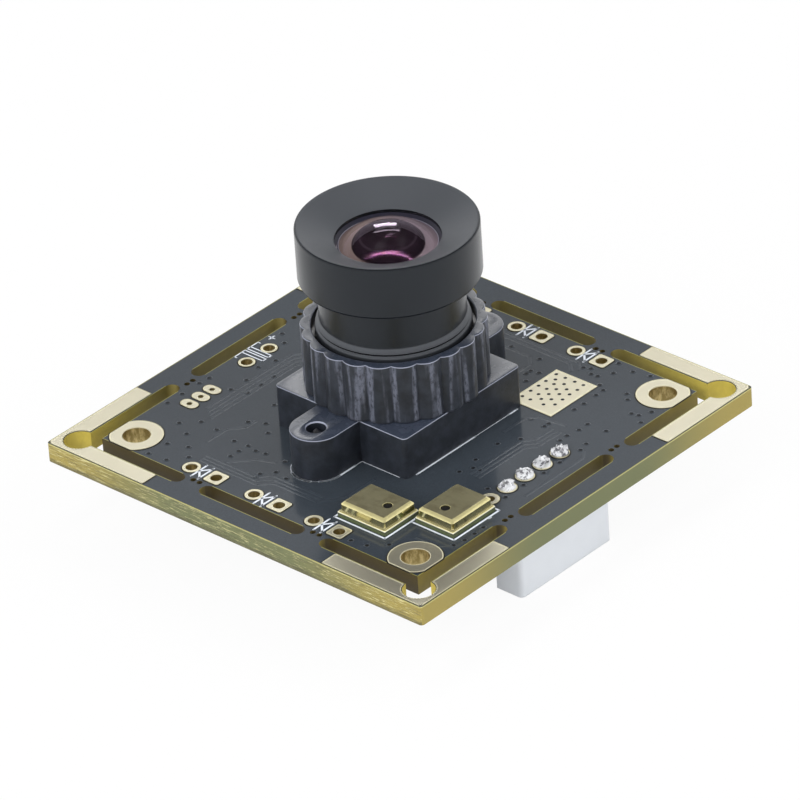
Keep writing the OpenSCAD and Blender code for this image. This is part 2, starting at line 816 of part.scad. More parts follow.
// Sound chip under the hole and amplifier chip beside it
module mic_chips() {
    color([0.35, 0.36, 0.40]) translate([0, 0, mic_base_t]) {
        difference() {
            translate([mic_port_off - mic_chip_side / 2, -mic_chip_side / 2, 0])
                cube([mic_chip_side, mic_chip_side, mic_chip_t]);
            translate([mic_port_off, 0, mic_chip_t / 2])
                cylinder(d = mic_chip_side / 2, h = mic_chip_t, $fn = 24);
        }
        translate([-mic_port_off - mic_amp[0] / 2, -mic_amp[1] / 2, 0]) cube(mic_amp);
    }
}

module left_mic_base() { at_mic(left_mic) mic_base(); }
module left_mic_chips() { at_mic(left_mic) mic_chips(); }
module left_mic_can() { at_mic(left_mic) mic_can(); }
module right_mic_base() { at_mic(right_mic) mic_base(); }
module right_mic_chips() { at_mic(right_mic) mic_chips(); }
module right_mic_can() { at_mic(right_mic) mic_can(); }

module housing_at(inset) {
    translate([housing_x0 + housing_len / 2, housing_y0 + housing_w / 2])
        rounded_rect(housing_len - 2 * inset, housing_w - 2 * inset,
                     max(housing_r - inset / 2, 0.1));
}

// Plug housing under the board, open downwards, with guide slots in its back wall and its ends
module socket_housing() {
    // Distance of a guide slot from the end of the housing
    guide_at = housing_end + 0.3;
    color([0.90, 0.91, 0.92]) difference() {
        translate([0, 0, housing_bottom]) linear_extrude(housing_h) housing_at(0);
        translate([0, 0, housing_bottom - over])
            linear_extrude(housing_h - housing_floor + over) housing_at(housing_wall);
        for (x = [guide_at, housing_len - guide_at])
            translate([housing_x0 + x - guide_w / 2, housing_y0 + housing_w - housing_wall - over,
                       housing_bottom - over])
                cube([guide_w, housing_wall + 2 * over, guide_h + over]);
        translate([housing_x0 - over, pin_y + end_slot_back - end_slot_w / 2, housing_bottom - over])
            cube([housing_len + 2 * over, end_slot_w, guide_h + over]);
        pin_places(0) translate([0, 0, cavity_top - over])
            linear_extrude(housing_floor + 2 * over) square(pin_side, center = true);
    }
}

module socket_contacts() {
    color([0.80, 0.78, 0.70]) pin_places(0) translate([0, 0, cavity_top - pin_in])
        linear_extrude(pin_in - cavity_top + board_t + pin_out)
            square(pin_side, center = true);
}

// Solder cone that fills a contact's hole and climbs its tip
module solder_joint() {
    low = top + copper_t;
    tip_r = pin_side * 0.55;
    difference() {
        union() {
            rotate_extrude($fn = 32) polygon(concat(
                [[0, low], [joint_r, low]],
                [for (i = [1:5]) let (t = i / 6)
                    [tip_r + (joint_r - tip_r) * pow(1 - t, 2), low + joint_h * t]],
                [[tip_r, low + joint_h], [0, low + joint_h]]));
            cylinder(d = pin_hole_d, h = low, $fn = 32);
        }
        translate([0, 0, -over]) linear_extrude(top + pin_out + over)
            square(pin_side, center = true);
    }
}

module solder_joints() {
    color([0.88, 0.89, 0.92]) pin_places(0) solder_joint();
}

// Places a part upside down on the underside of the board
module under(place) {
    translate([place[0], place[1], 0]) rotate([180, 0, place[2]]) children();
}

// Moulded chip body with tapered sides
module chip_body(len, w, t) {
    draft = t / 8;
    translate([0, 0, stand_off]) intersection() {
        rotate([90, 0, 0]) linear_extrude(2 * w, center = true)
            polygon([[draft - len / 2, 0], [len / 2 - draft, 0], [len / 2, t / 2],
                     [len / 2 - draft, t], [draft - len / 2, t], [-len / 2, t / 2]]);
        rotate([90, 0, 90]) linear_extrude(2 * len, center = true)
            polygon([[draft - w / 2, 0], [w / 2 - draft, 0], [w / 2, t / 2],
                     [w / 2 - draft, t], [draft - w / 2, t], [-w / 2, t / 2]]);
    }
}

// Bent lead: it leaves the middle of the chip's side, drops and ends in a flat foot
module lead(t, w, out) {
    mid = stand_off + t / 2;
    knee = out * 0.35;
    rotate([90, 0, 0]) linear_extrude(w, center = true)
        polygon([[0, mid], [knee + lead_t / 2, mid], [knee + lead_t, lead_t], [out, lead_t],
                 [out, 0], [knee, 0], [knee - lead_t / 2, mid - lead_t], [0, mid - lead_t]]);
}

// Row of leads along the +X side of a chip
module lead_row(n, pitch, half, t, w, out) {
    for (i = [0:n - 1]) translate([half, (i - (n - 1) / 2) * pitch, 0])
        lead(t, w, out);
}

module processor() {
    color([0.13, 0.13, 0.14]) under(cpu_at) chip_body(cpu_side, cpu_side, cpu_t);
}

module processor_leads() {
    color([0.75, 0.75, 0.76]) under(cpu_at) for (turn = [0:90:270]) rotate(turn)
        lead_row(cpu_leads, cpu_lead_pitch, cpu_side / 2, cpu_t, cpu_lead_w, cpu_lead_out);
}

module memory_chip() {
    color([0.13, 0.13, 0.14]) under(memory_at) chip_body(memory_w, memory_len, memory_t);
}

module memory_leads() {
    color([0.75, 0.75, 0.76]) under(memory_at) for (turn = [0, 180]) rotate(turn)
        lead_row(memory_leads_n, memory_lead_pitch, memory_w / 2, memory_t,
                 memory_lead_w, memory_lead_out);
}

module regulators() {
    color([0.13, 0.13, 0.14]) for (place = regulator_at) under(place)
        chip_body(regulator_w, regulator_len, regulator_t);
}

module regulator_leads() {
    // Three leads on one side and two, twice as far apart, on the other
    color([0.75, 0.75, 0.76]) for (place = regulator_at) under(place) {
        lead_row(3, regulator_lead_pitch, regulator_w / 2, regulator_t,
                 regulator_lead_w, regulator_lead_out);
        rotate(180) lead_row(2, 2 * regulator_lead_pitch, regulator_w / 2, regulator_t,
                             regulator_lead_w, regulator_lead_out);
    }
}

module crystal_base() {
    color([0.55, 0.48, 0.38]) under(crystal_at)
        linear_extrude(crystal_base_t) square([crystal_len, crystal_w], center = true);
}

module crystal_lid() {
    // Margin of the base round the lid
    margin = 0.2;
    color([0.78, 0.78, 0.79]) under(crystal_at) translate([0, 0, crystal_base_t])
        linear_extrude(crystal_lid_t)
            rounded_rect(crystal_len - 2 * margin, crystal_w - 2 * margin, 0.4);
}

module chip_middle(t) {
    translate([chip_end - chip_len / 2, -chip_w / 2, 0])
        cube([chip_len - 2 * chip_end, chip_w, t]);
}

module chip_end_pair(t) {
    for (x = [-chip_len / 2, chip_len / 2 - chip_end])
        translate([x, -chip_w / 2, 0]) cube([chip_end, chip_w, t]);
}

module capacitors() {
    color([0.66, 0.54, 0.40]) for (place = capacitor_at) under(place) chip_middle(capacitor_t);
}

module resistors() {
    color([0.12, 0.12, 0.13]) for (place = resistor_at) under(place) chip_middle(resistor_t);
}

module chip_ends() {
    color([0.78, 0.78, 0.79]) {
        for (place = capacitor_at) under(place) chip_end_pair(capacitor_t);
        for (place = resistor_at) under(place) chip_end_pair(resistor_t);
    }
}

circuit_board();
copper_pads();
lens_holder();
holder_screws();
lens_barrel();
front_lens();
front_spacer();
second_lens();
aperture_plate();
third_lens();
rear_spacer();
rear_lens();
retaining_ring();
colour_filter();
sensor_package();
sensor_chip();
sensor_cover_glass();
left_mic_base();
left_mic_chips();
left_mic_can();
right_mic_base();
right_mic_chips();
right_mic_can();
socket_housing();
socket_contacts();
solder_joints();
processor();
processor_leads();
memory_chip();
memory_leads();
regulators();
regulator_leads();
crystal_base();
crystal_lid();
capacitors();
resistors();
chip_ends();
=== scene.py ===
"""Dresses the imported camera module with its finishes, its fine pieces and its stage."""

import math

import bpy
from mathutils import Matrix, Vector, noise
from mathutils.geometry import tessellate_polygon


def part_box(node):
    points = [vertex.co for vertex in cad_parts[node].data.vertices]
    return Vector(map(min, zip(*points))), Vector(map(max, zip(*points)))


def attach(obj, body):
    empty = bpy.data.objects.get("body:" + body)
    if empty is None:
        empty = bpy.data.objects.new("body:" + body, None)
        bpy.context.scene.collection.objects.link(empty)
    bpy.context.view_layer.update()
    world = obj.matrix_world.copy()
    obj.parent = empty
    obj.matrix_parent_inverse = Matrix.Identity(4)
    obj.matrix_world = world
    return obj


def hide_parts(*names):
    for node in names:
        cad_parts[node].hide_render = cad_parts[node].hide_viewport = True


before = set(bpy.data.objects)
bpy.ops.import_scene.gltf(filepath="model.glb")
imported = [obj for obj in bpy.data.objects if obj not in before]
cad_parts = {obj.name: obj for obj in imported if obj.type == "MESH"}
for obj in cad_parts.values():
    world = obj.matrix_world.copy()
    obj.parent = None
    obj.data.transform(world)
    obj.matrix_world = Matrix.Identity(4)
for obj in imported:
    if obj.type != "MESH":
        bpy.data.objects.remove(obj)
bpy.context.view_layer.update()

bl_info = {
    "name": "Camera module",
    "version": (1, 0, 0),
    "blender": (4, 5, 0),
    "location": "View3D > Sidebar > Camera module",
    "description": "Finishes and fine pieces of a camera circuit board with a screw-in lens",
    "category": "Object",
}

MM = 0.001


def extent(node):
    """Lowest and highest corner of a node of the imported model, in millimetres."""
    low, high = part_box(node)
    return [value / MM for value in low], [value / MM for value in high]


BOARD_HALF, _, TOP = extent("circuit_board")[1]
PAD_TOP = extent("copper_pads")[1][2]
EAR_END, _, HOLDER_TOP = extent("lens_holder")[1]
LENS_BASE, LENS_FRONT = (corner[2] for corner in extent("lens_barrel"))
GROUND = extent("socket_housing")[0][2]


# Sizes and colours that a user would change


def length(name, value, description):
    """A length property, kept in metres and given in millimetres."""
    return bpy.props.FloatProperty(
        name=name, default=value * MM, min=0.0, unit="LENGTH", precision=5, description=description
    )


def colour(name, value, description):
    """A colour property with linear values."""
    return bpy.props.FloatVectorProperty(
        name=name, subtype="COLOR", size=3, min=0.0, max=1.0, default=value, description=description
    )


class BoardMarkSizes(bpy.types.PropertyGroup):
    """Sizes of the printed and etched marks on the board."""

    silk_width: length("Silk line", 0.17, "Width of a printed line")
    silk_lift: length("Silk height", 0.012, "Height of the print over the board")
    window_width: length("Mask window", 0.11, "Bare laminate round a pad")
    rim_highlight_width: length("Pad rim", 0.075, "Painted highlight along the edge of a pad")
    via_hole: length("Via hole", 0.155, "Radius of a via's dimple")
    via_rim: length("Via rim", 0.26, "Radius of the mask's rim round a via")
    track_width: length("Track", 0.2, "Width of a track under the mask")
    track_height: length("Track height", 0.011, "Height of a track under the mask")


class HolderSizes(bpy.types.PropertyGroup):
    """Sizes of the moulded lens holder."""

    edge: length("Edge", 0.09, "Rounding of the moulded edges")
    ear_hole: length("Ear hole", 0.78, "Radius of the screw hole in an ear")
    rib_tip: length("Rib tip", 7.1, "Radius over the ribs")
    rib_depth: length("Rib depth", 0.32, "Depth of the valleys between the ribs")
    rib_count: bpy.props.IntProperty(
        name="Ribs", default=22, min=6, max=40, description="Number of ribs round the holder"
    )
    rib_turn: bpy.props.FloatProperty(
        name="Rib turn",
        default=math.radians(15.65),
        subtype="ANGLE",
        description="Turn of the first rib from the X axis",
    )


class LensSizes(bpy.types.PropertyGroup):
    """Sizes of the lens that the camera sees."""

    thread: length("Thread", 5.95, "Radius of the threaded end")
    neck: length("Neck", 5.6, "Radius of the neck")
    hood: length("Hood", 7.0, "Radius of the hood")
    hood_edge: length("Hood edge", 0.15, "Rounding of the hood's front edge")
    window: length("Window", 4.05, "Radius of the opening in the hood")
    dome: length("Front dome", 3.75, "Radius of the front lens's polished dome")
    rise: length("Front rise", 1.4, "Rise of the front lens over its edge")
    hollow: length("Hollow", 2.35, "Radius of the hollow behind the front lens")
    hollow_depth: length("Hollow depth", 1.9, "Depth of that hollow")
    ball: length("Inner ball", 0.9, "Radius of the small ball at the middle of the hollow")
    ball_rise: length("Inner ball rise", 0.2, "Rise of that ball")


class PartColours(bpy.types.PropertyGroup):
    """Base colours of the finishes."""

    mask: colour("Solder mask", (0.033, 0.041, 0.051), "Dark solder mask on the board")
    mask_edge: colour("Mask's edge", (0.30, 0.28, 0.075), "Thin bare line along the outline and the slots")
    laminate: colour("Laminate", (0.150, 0.163, 0.072), "Cut edge of the glass-fibre laminate")
    laminate_gold: colour("Golden laminate", (0.34, 0.27, 0.068), "Cut edge near the corners")
    laminate_light: colour("Pulled fibres", (0.66, 0.60, 0.30), "Bright fibres of a torn cut")
    laminate_dark: colour("Dark laminate", (0.085, 0.080, 0.042), "Dark side of a torn cut")
    laminate_top: colour("Laminate's top", (0.58, 0.53, 0.23), "Bright line along the top of a cut")
    slot_wall: colour("Slot wall", (0.225, 0.185, 0.055), "Routed wall inside a slot")
    # Painted shade on the inner board's slot walls, also used for mottling
    slot_wall_shade_and_mottle: colour("Dark slot wall", (0.050, 0.036, 0.012), "Painted shade on the inner board's walls, and mottling")
    slot_wall_corner: colour("Corner slot wall", (0.62, 0.50, 0.085), "Routed wall near the board's corners")
    gold: colour("Gold plating", (0.84, 0.79, 0.61), "Thin gold on the pads")
    # Painted highlight along the edge of each pad
    gold_rim_highlight: colour("Pad rim", (1.0, 0.94, 0.66), "Painted highlight along the edge of a pad")
    hole_wall: colour("Hole wall", (0.30, 0.23, 0.085), "Plated wall inside a hole")
    hole_wall_light: colour("Light hole wall", (0.62, 0.50, 0.24), "Scratches on that wall")
    silk: colour("Silk print", (0.80, 0.85, 0.93), "Printed marks")
    holder: colour("Holder plastic", (0.022, 0.026, 0.035), "Moulded lens holder")
    holder_top_sheen: colour("Holder's tops", (0.045, 0.058, 0.092), "Sheen on the level faces of the holder")
    holder_edge_highlight: colour("Holder's edges", (0.42, 0.45, 0.56), "Painted highlight on the moulded edges")
    holder_streak_highlight: colour("Streaks", (0.150, 0.162, 0.210), "Painted highlight as streaks on the ribs")
    holder_speck: colour("Specks", (0.15, 0.16, 0.19), "Fine specks in the plastic")
    barrel: colour("Lens barrel", (0.005, 0.006, 0.008), "Black anodised barrel")
    barrel_edge_highlight: colour("Barrel's edges", (0.16, 0.165, 0.175), "Sharp edges of the barrel")
    funnel: colour("Funnel", (0.064, 0.068, 0.076), "Matt cone in front of the lens")
    coating: colour("Lens coating", (0.80, 0.68, 0.84), "Anti-reflection coating")
    shoulder: colour("Lens shoulder", (0.165, 0.133, 0.147), "Flat shoulder behind the front lens")
    shoulder_left_shade: colour("Warm shoulder", (0.155, 0.118, 0.105), "The shoulder on its left side")
    brass: colour("Microphone can", (0.34, 0.31, 0.185), "Gold-flashed roof of a microphone")
    brass_stain: colour("Stained can", (0.16, 0.135, 0.075), "Brown clouds on that roof")
    brass_edge: colour("Can edge", (0.93, 0.84, 0.42), "Bevel and walls of a microphone's can")
    mic_laminate: colour("Microphone base", (0.085, 0.105, 0.045), "Cut laminate of a microphone")
    mic_laminate_top: colour("Base's top", (0.90, 0.87, 0.66), "Cream line along the top of that cut")
    housing: colour("Socket plastic", (0.74, 0.77, 0.81), "White plug socket")
    solder: colour("Solder", (0.90, 0.91, 0.94), "Hand-soldered joints")
    solder_fold_shade: colour("Solder's folds", (0.16, 0.16, 0.18), "Painted shade in the folds of the solder")
    tin: colour("Tin plating", (0.62, 0.62, 0.61), "Leads and metal ends")
    chip: colour("Chip resin", (0.020, 0.020, 0.022), "Moulded chip bodies")
    ceramic: colour("Ceramic", (0.42, 0.27, 0.14), "Chip capacitors")


class StageSizes(bpy.types.PropertyGroup):
    """Sizes of the studio round the part."""

    floor_radius: length("Floor", 1500.0, "Radius of the round floor")
    wall_height: length("Wall", 1000.0, "Height of the round backdrop")
    room_light: bpy.props.FloatProperty(
        name="Room light", default=0.12, min=0.0, description="Strength of the even light of the room"
    )


def mm(value):
    """A length property in millimetres."""
    return value / MM


# Shader maths


def joined(tree, socket, value):
    """Sets a socket to a number, a colour or another signal."""
    if isinstance(value, Signal):
        tree.links.new(value.socket, socket)
    elif isinstance(value, (tuple, list)) and len(value) == 3 and socket.type == "RGBA":
        socket.default_value = (*value, 1.0)
    else:
        socket.default_value = value


class Signal:
    """A socket of a node tree, on which the usual operators add the nodes they stand for."""

    def __init__(self, tree, socket):
        self.tree = tree
        self.socket = socket

    def maths(self, operation, *values, clamp=False):
        """The result of a Math node on this tree."""
        node = self.tree.nodes.new("ShaderNodeMath")
        node.operation = operation
        node.use_clamp = clamp
        for place, value in enumerate(values):
            joined(self.tree, node.inputs[place], value)
        return Signal(self.tree, node.outputs[0])

    def __add__(self, other):
        return self.maths("ADD", self, other)

    def __radd__(self, other):
        return self.maths("ADD", other, self)

    def __sub__(self, other):
        return self.maths("SUBTRACT", self, other)

    def __rsub__(self, other):
        return self.maths("SUBTRACT", other, self)

    def __mul__(self, other):
        return self.maths("MULTIPLY", self, other)

    def __rmul__(self, other):
        return self.maths("MULTIPLY", other, self)

    def __pow__(self, other):
        return self.maths("POWER", self, other)

    def __abs__(self):
        return self.maths("ABSOLUTE", self)

    def __gt__(self, other):
        return self.maths("GREATER_THAN", self, other)

    def __lt__(self, other):
        return self.maths("LESS_THAN", self, other)

    def least(self, other):
        """The smaller of two values."""
        return self.maths("MINIMUM", self, other)

    def most(self, other):
        """The larger of two values."""
        return self.maths("MAXIMUM", self, other)

    def clipped(self):
        """The value kept between 0 and 1."""
        return self.maths("ADD", self, 0.0, clamp=True)


class Ports:
    """The outputs of a node, by name or place, as signals."""

    def __init__(self, tree, node):
        self.tree = tree
        self.node = node

    def __getitem__(self, key):
        return Signal(self.tree, self.node.outputs[key])


class Wiring:
    """A node tree that is emptied and then built node by node."""

    def __init__(self, owner, output="ShaderNodeOutputMaterial"):
        owner.use_nodes = True
        self.tree = owner.node_tree
        self.tree.nodes.clear()
        self.output = self.tree.nodes.new(output)

    def show(self, shader):
        """Links a shader to the output."""
        joined(self.tree, self.output.inputs["Surface"], shader)

    def node(self, kind, settings=None, inputs=None):
        """Adds a node: first its settings, then the values or links of its sockets."""
        made = self.tree.nodes.new(kind)
        for key, value in (settings or {}).items():
            setattr(made, key, value)
        for key, value in (inputs or {}).items():
            joined(self.tree, made.inputs[key], value)
        return Ports(self.tree, made)

    def either(self, share, first, second):
        """One shader turning into another."""
        return self.node("ShaderNodeMixShader", {}, {0: share, 1: first, 2: second})["Shader"]


class Finish(Wiring):
    """A material that is built round one Principled shader."""

    def __init__(self, name, **settings):
        self.material = bpy.data.materials.new(name)
        super().__init__(self.material)
        self.shader = self.tree.nodes.new("ShaderNodeBsdfPrincipled")
        self.show(Signal(self.tree, self.shader.outputs[0]))
        for key, value in settings.items():
            self.set(key.replace("_", " "), value)

    def set(self, socket, value):
        """Sets or links one socket of the shader."""
        joined(self.tree, self.shader.inputs[socket], value)

    def place(self, x=1.0, y=1.0, z=1.0):
        """The point on the surface in millimetres, stretched along each axis."""
        point = self.node("ShaderNodeTexCoord")["Object"]
        scaled = self.node(
            "ShaderNodeVectorMath",
            {"operation": "MULTIPLY"},
            {0: point, 1: (x / MM, y / MM, z / MM)},
        )
        return scaled["Vector"]

    def axes(self):
        """X, Y and Z of the point on the surface, in millimetres."""
        parts = self.node("ShaderNodeSeparateXYZ", {}, {0: self.place()})
        return parts["X"], parts["Y"], parts["Z"]

    def radius(self):
        """Distance from the lens axis, in millimetres."""
        x, y, _ = self.axes()
        return (x * x + y * y) ** 0.5

    def facing(self):
        """How far the surface faces X, Y and Z."""
        parts = self.node("ShaderNodeSeparateXYZ", {}, {0: self.node("ShaderNodeNewGeometry")["Normal"]})
        return parts["X"], parts["Y"], parts["Z"]

    def grain(self, scale, detail=3.0, roughness=0.55, stretch=(1.0, 1.0, 1.0)):
        """Noise with a scale per millimetre."""
        return self.node(
            "ShaderNodeTexNoise",
            {"noise_dimensions": "3D"},
            {"Vector": self.place(*stretch), "Scale": scale, "Detail": detail, "Roughness": roughness},
        )[0]

    def rise(self, value, low, high, start=0.0, end=1.0):
        """A soft step of a value from low to high."""
        return self.node(
            "ShaderNodeMapRange",
            {"interpolation_type": "SMOOTHSTEP"},
            {"Value": value, "From Min": low, "From Max": high, "To Min": start, "To Max": end},
        )[0]

    def blend(self, share, first, second):
        """One colour turning into another."""
        # A Mix node takes its colours at sockets 6 and 7 and gives the result at output 2.
        return self.node("ShaderNodeMix", {"data_type": "RGBA"}, {0: share, 6: first, 7: second})[2]

    def clouded(self, share, rgb, low, high):
        """A colour that wanders between two shades of itself, given as factors."""
        return self.blend(share, shade(rgb, low), shade(rgb, high))

    def bump(self, height, distance, strength=1.0, **normal):
        """Feeds a height in millimetres into the shader's normal."""
        inputs = {"Height": height, "Distance": distance * MM, "Strength": strength, **normal}
        self.set("Normal", self.node("ShaderNodeBump", {}, inputs)["Normal"])

    def softened(self, width):
        """The normal, rounded at sharp corners over a width in millimetres."""
        return self.node("ShaderNodeBevel", {"samples": 6}, {"Radius": width * MM})["Normal"]

    def edges(self, width):
        """Where the surface turns a sharp corner within a width in millimetres."""
        both = {0: self.softened(width), 1: self.node("ShaderNodeNewGeometry")["Normal"]}
        turn = self.node("ShaderNodeVectorMath", {"operation": "DOT_PRODUCT"}, both)["Value"]
        return self.rise(1.0 - turn, 0.01, 0.12)


def shade(rgb, factor):
    """A colour made lighter or darker."""
    return tuple(min(1.0, channel * factor) for channel in rgb)


def tone(name):
    """One of the part's colours as a tuple."""
    return tuple(getattr(bpy.context.scene.part_colours, name))


# Finishes

CORE_HALF, SLOT_OUT = 16.0, 17.25
BRIDGE_FROM, BRIDGE_TO = 4.6, 7.6
FUNNEL_REACH = 6.85


def dull_finish(name, scale, dark, light, roughness):
    """Matt surface that wanders between two near colours."""
    finish = Finish(name, Roughness=roughness)
    finish.set("Base Color", finish.blend(finish.grain(scale), dark, light))
    return finish.material


def board_finish():
    """Dark solder mask above and below, cut glass-fibre laminate between."""
    finish = Finish("solder_mask_and_laminate", IOR=1.5)
    x, y, z = finish.axes()
    across, _, upward = finish.facing()
    side = 1.0 - finish.rise(abs(upward), 0.4, 0.6)
    far = abs(x).most(abs(y))
    near = abs(x).least(abs(y))
    cloud = finish.grain(0.35, 4.0)
    speck = finish.grain(9.0, 5.0, 0.7)
    mask = finish.clouded(cloud, tone("mask"), 0.90, 1.10)
    mask = finish.blend(finish.rise(speck, 0.35, 0.75), mask, shade(tone("mask"), 1.25))
    bare = mask_edge(finish, far, near) * finish.rise(upward, 0.6, 0.8)
    mask = finish.blend(bare * 0.85, mask, tone("mask_edge"))
    near_corner = finish.rise(near, 5.0, 17.5)
    wall = slot_wall(finish, far, near, abs(across), near_corner)
    outside = finish.rise(far, BOARD_HALF - 0.5, BOARD_HALF - 0.2)
    torn = outside * finish.rise(abs(across), 0.6, 0.8)
    pulled = finish.grain(2.6, 5.0, 0.65, (1.0, 0.22, 2.6))
    fine = finish.grain(6.5, 3.0, 0.6, (1.0, 0.16, 2.4))
    cut = finish.blend(near_corner, tone("laminate"), tone("laminate_gold"))
    cut = finish.blend(finish.rise(pulled, 0.52, 0.30) * torn * 0.6, cut, tone("laminate_dark"))
    fibres = finish.rise(fine, 0.54, 0.70) * torn * (0.75 + 0.25 * near_corner)
    cut = finish.blend(fibres, cut, tone("laminate_light"))
    # The cut edge darker towards the bottom
    darker_low = finish.rise(z + pulled * 0.9, 0.95, 0.55) * torn
    cut = finish.blend(darker_low * 0.7, cut, tone("laminate_dark"))
    cut = finish.blend(finish.rise(z, TOP - 0.10, TOP - 0.05) * 0.75, cut, tone("laminate_top"))
    finish.set("Base Color", finish.blend(side, mask, finish.blend(outside, wall, cut)))
    finish.set("Roughness", 0.12 + side * 0.45 + cloud * 0.05)
    finish.bump(speck * 0.015 + torn * (pulled * 1.6 + fine * 0.8) + side * speck * 0.3, 0.05, 0.7)
    return finish.material


def mask_edge(finish, far, near):
    """Thin bare line where the mask ends beside the board's outline and the slots."""
    margin = 0.06
    rim = finish.rise(far, BOARD_HALF - margin - 0.01, BOARD_HALF - margin + 0.01)
    inside = (far > CORE_HALF - margin) * (far < CORE_HALF)
    beside = inside + (far > SLOT_OUT) * (far < SLOT_OUT + margin)
    slotted = ((near < BRIDGE_FROM) + (near > BRIDGE_TO)).clipped()
    return (rim + beside * slotted).clipped()


def slot_wall(finish, far, near, across, near_corner):
    """Routed walls of the slots: painted shade on the inner board's walls, darkest where they face X, golden
    near the corners, with darker mottling.
    """
    wall = finish.blend(near_corner, tone("slot_wall"), tone("slot_wall_corner"))
    # Painted shade: the inner board's walls inside the slots, darkest where they face X
    core = finish.rise(far, 16.9, 16.3) * finish.rise(near, 16.9, 16.5)
    dark = core * (0.66 + 0.32 * finish.rise(across, 0.4, 0.6))
    wall = finish.blend(dark, wall, tone("slot_wall_shade_and_mottle"))
    return finish.blend(finish.grain(1.4, 3.0) * 0.3, wall, tone("slot_wall_shade_and_mottle"))


def window_finish():
    """Bare laminate in the gap between the mask and a pad."""
    return dull_finish("mask_window", 2.0, (0.010, 0.009, 0.007), (0.020, 0.017, 0.010), 0.6)


def gold_finish():
    """Thin flat gold, with a duller wall inside the holes, darkened there as painted shade."""
    finish = Finish("gold_plating", Metallic=0.84)
    _, _, z = finish.axes()
    _, _, upward = finish.facing()
    cloud = finish.grain(0.5, 3.0)
    face = finish.clouded(cloud, tone("gold"), 0.93, 1.04)
    # Inside the holes: duller plating, darkened further as painted shade
    wall = finish.rise(abs(upward), 0.6, 0.3) * finish.rise(z, TOP + 0.02, TOP - 0.05)
    scratch = finish.grain(3.0, 4.0, 0.7, (1.0, 1.0, 0.4))
    inner = finish.blend(finish.rise(scratch, 0.4, 0.65), tone("hole_wall"), tone("hole_wall_light"))
    finish.set("Base Color", finish.blend(wall, face, inner))
    finish.set("Roughness", 0.28 + cloud * 0.02 + wall * 0.18)
    return finish.material


def rim_highlight_finish():
    """Painted highlight: a bright gold line along the edge of a pad."""
    finish = Finish("pad_rim", Metallic=0.35, Roughness=0.16)
    finish.set("Base Color", finish.clouded(finish.grain(3.0), tone("gold_rim_highlight"), 0.88, 1.0))
    return finish.material


def silk_finish():
    """White print with a slightly ragged ink surface."""
    finish = Finish("silk_print", Roughness=0.55)
    ink = finish.grain(6.0, 4.0, 0.7)
    finish.set("Base Color", finish.clouded(ink, tone("silk"), 0.82, 1.06))
    finish.bump(ink, 0.01, 0.6)
    return finish.material


def track_finish():
    """Solder mask over copper, a little lighter than the mask beside it."""
    finish = Finish("mask_over_copper", IOR=1.5)
    cloud = finish.grain(0.7, 3.0)
    finish.set("Base Color", finish.clouded(cloud, tone("mask"), 1.02, 1.30))
    finish.set("Roughness", 0.26 + cloud * 0.06)
    return finish.material


def hole_shade_finish():
    """Painted shade: the dark in a covered via, in a hole of the heat pad and in a microphone's opening."""
    return dull_finish("via_dimple", 5.0, (0.004, 0.004, 0.005), (0.010, 0.010, 0.011), 0.6)


def holder_finish():
    """Moulded slate-black plastic: mottled, with painted highlight as pale streaks on the ribs and on the
    edges, and a painted sheen on the level faces.
    """
    finish = Finish("moulded_holder", IOR=1.5, Coat_IOR=2.0, Coat_Roughness=0.28)
    _, _, z = finish.axes()
    _, _, upward = finish.facing()
    level = finish.rise(upward, 0.6, 0.9)
    blotch = finish.grain(0.9, 5.0, 0.65)
    streak = finish.grain(1.15, 2.0, 0.5, (1.0, 1.0, 0.07))
    fine = finish.grain(5.0, 4.0, 0.65, (1.0, 1.0, 0.4))
    speck = finish.grain(8.0, 4.0, 0.7)
    body = finish.clouded(finish.rise(blotch, 0.35, 0.68), tone("holder"), 0.66, 1.25)
    ribs = finish.rise(z, TOP + FOOT_HEIGHT - 0.05, TOP + FOOT_HEIGHT + 0.25)
    # Painted highlight: pale streaks on the flanks of the ribs
    drawn = finish.rise(streak, 0.47, 0.60) * finish.rise(fine, 0.30, 0.60) * ribs * (1.0 - level)
    body = finish.blend(drawn * 0.9, body, tone("holder_streak_highlight"))
    body = finish.blend(finish.rise(speck, 0.60, 0.80) * 0.25, body, tone("holder_speck"))
    # Painted sheen: the level faces are lighter and bluer
    body = finish.blend(level * 0.55, body, tone("holder_top_sheen"))
    # Painted highlight on the faces that turn from the sides to the top
    corner = finish.rise(upward, 0.12, 0.35) * (1.0 - level)
    finish.set("Base Color", finish.blend(corner * 0.8, body, tone("holder_edge_highlight")))
    finish.set("Coat Weight", level)
    finish.set("Roughness", 0.30 + blotch * 0.14 - level * 0.10)
    relief = blotch * 0.5 + speck * 0.35 + fine * ribs * 0.5
    finish.bump(relief * (1.0 - level), 0.035, 0.75)
    return finish.material


def barrel_finish():
    """Black anodised metal with a fine turned surface, a matt funnel and a painted highlight along its sharp
    edges.
    """
    finish = Finish("anodised_barrel", IOR=1.46, Specular_Tint=(0.86, 0.93, 1.0))
    turned = finish.grain(14.0, 3.0, 0.6, (0.15, 0.15, 1.0))
    body = finish.clouded(finish.grain(0.4, 3.0), tone("barrel"), 0.92, 1.10)
    _, _, upward = finish.facing()
    funnel = finish.rise(finish.radius(), FUNNEL_REACH + 0.1, FUNNEL_REACH - 0.1)
    funnel = funnel * finish.rise(upward, 0.1, 0.3)
    body = finish.blend(funnel, body, tone("funnel"))
    # Painted highlight along the sharp edges
    finish.set("Base Color", finish.blend(finish.edges(0.07) * 0.35, body, tone("barrel_edge_highlight")))
    finish.set("Roughness", 0.22 + turned * 0.06 + funnel * 0.14)
    finish.bump(turned, 0.012, 0.25)
    return finish.material


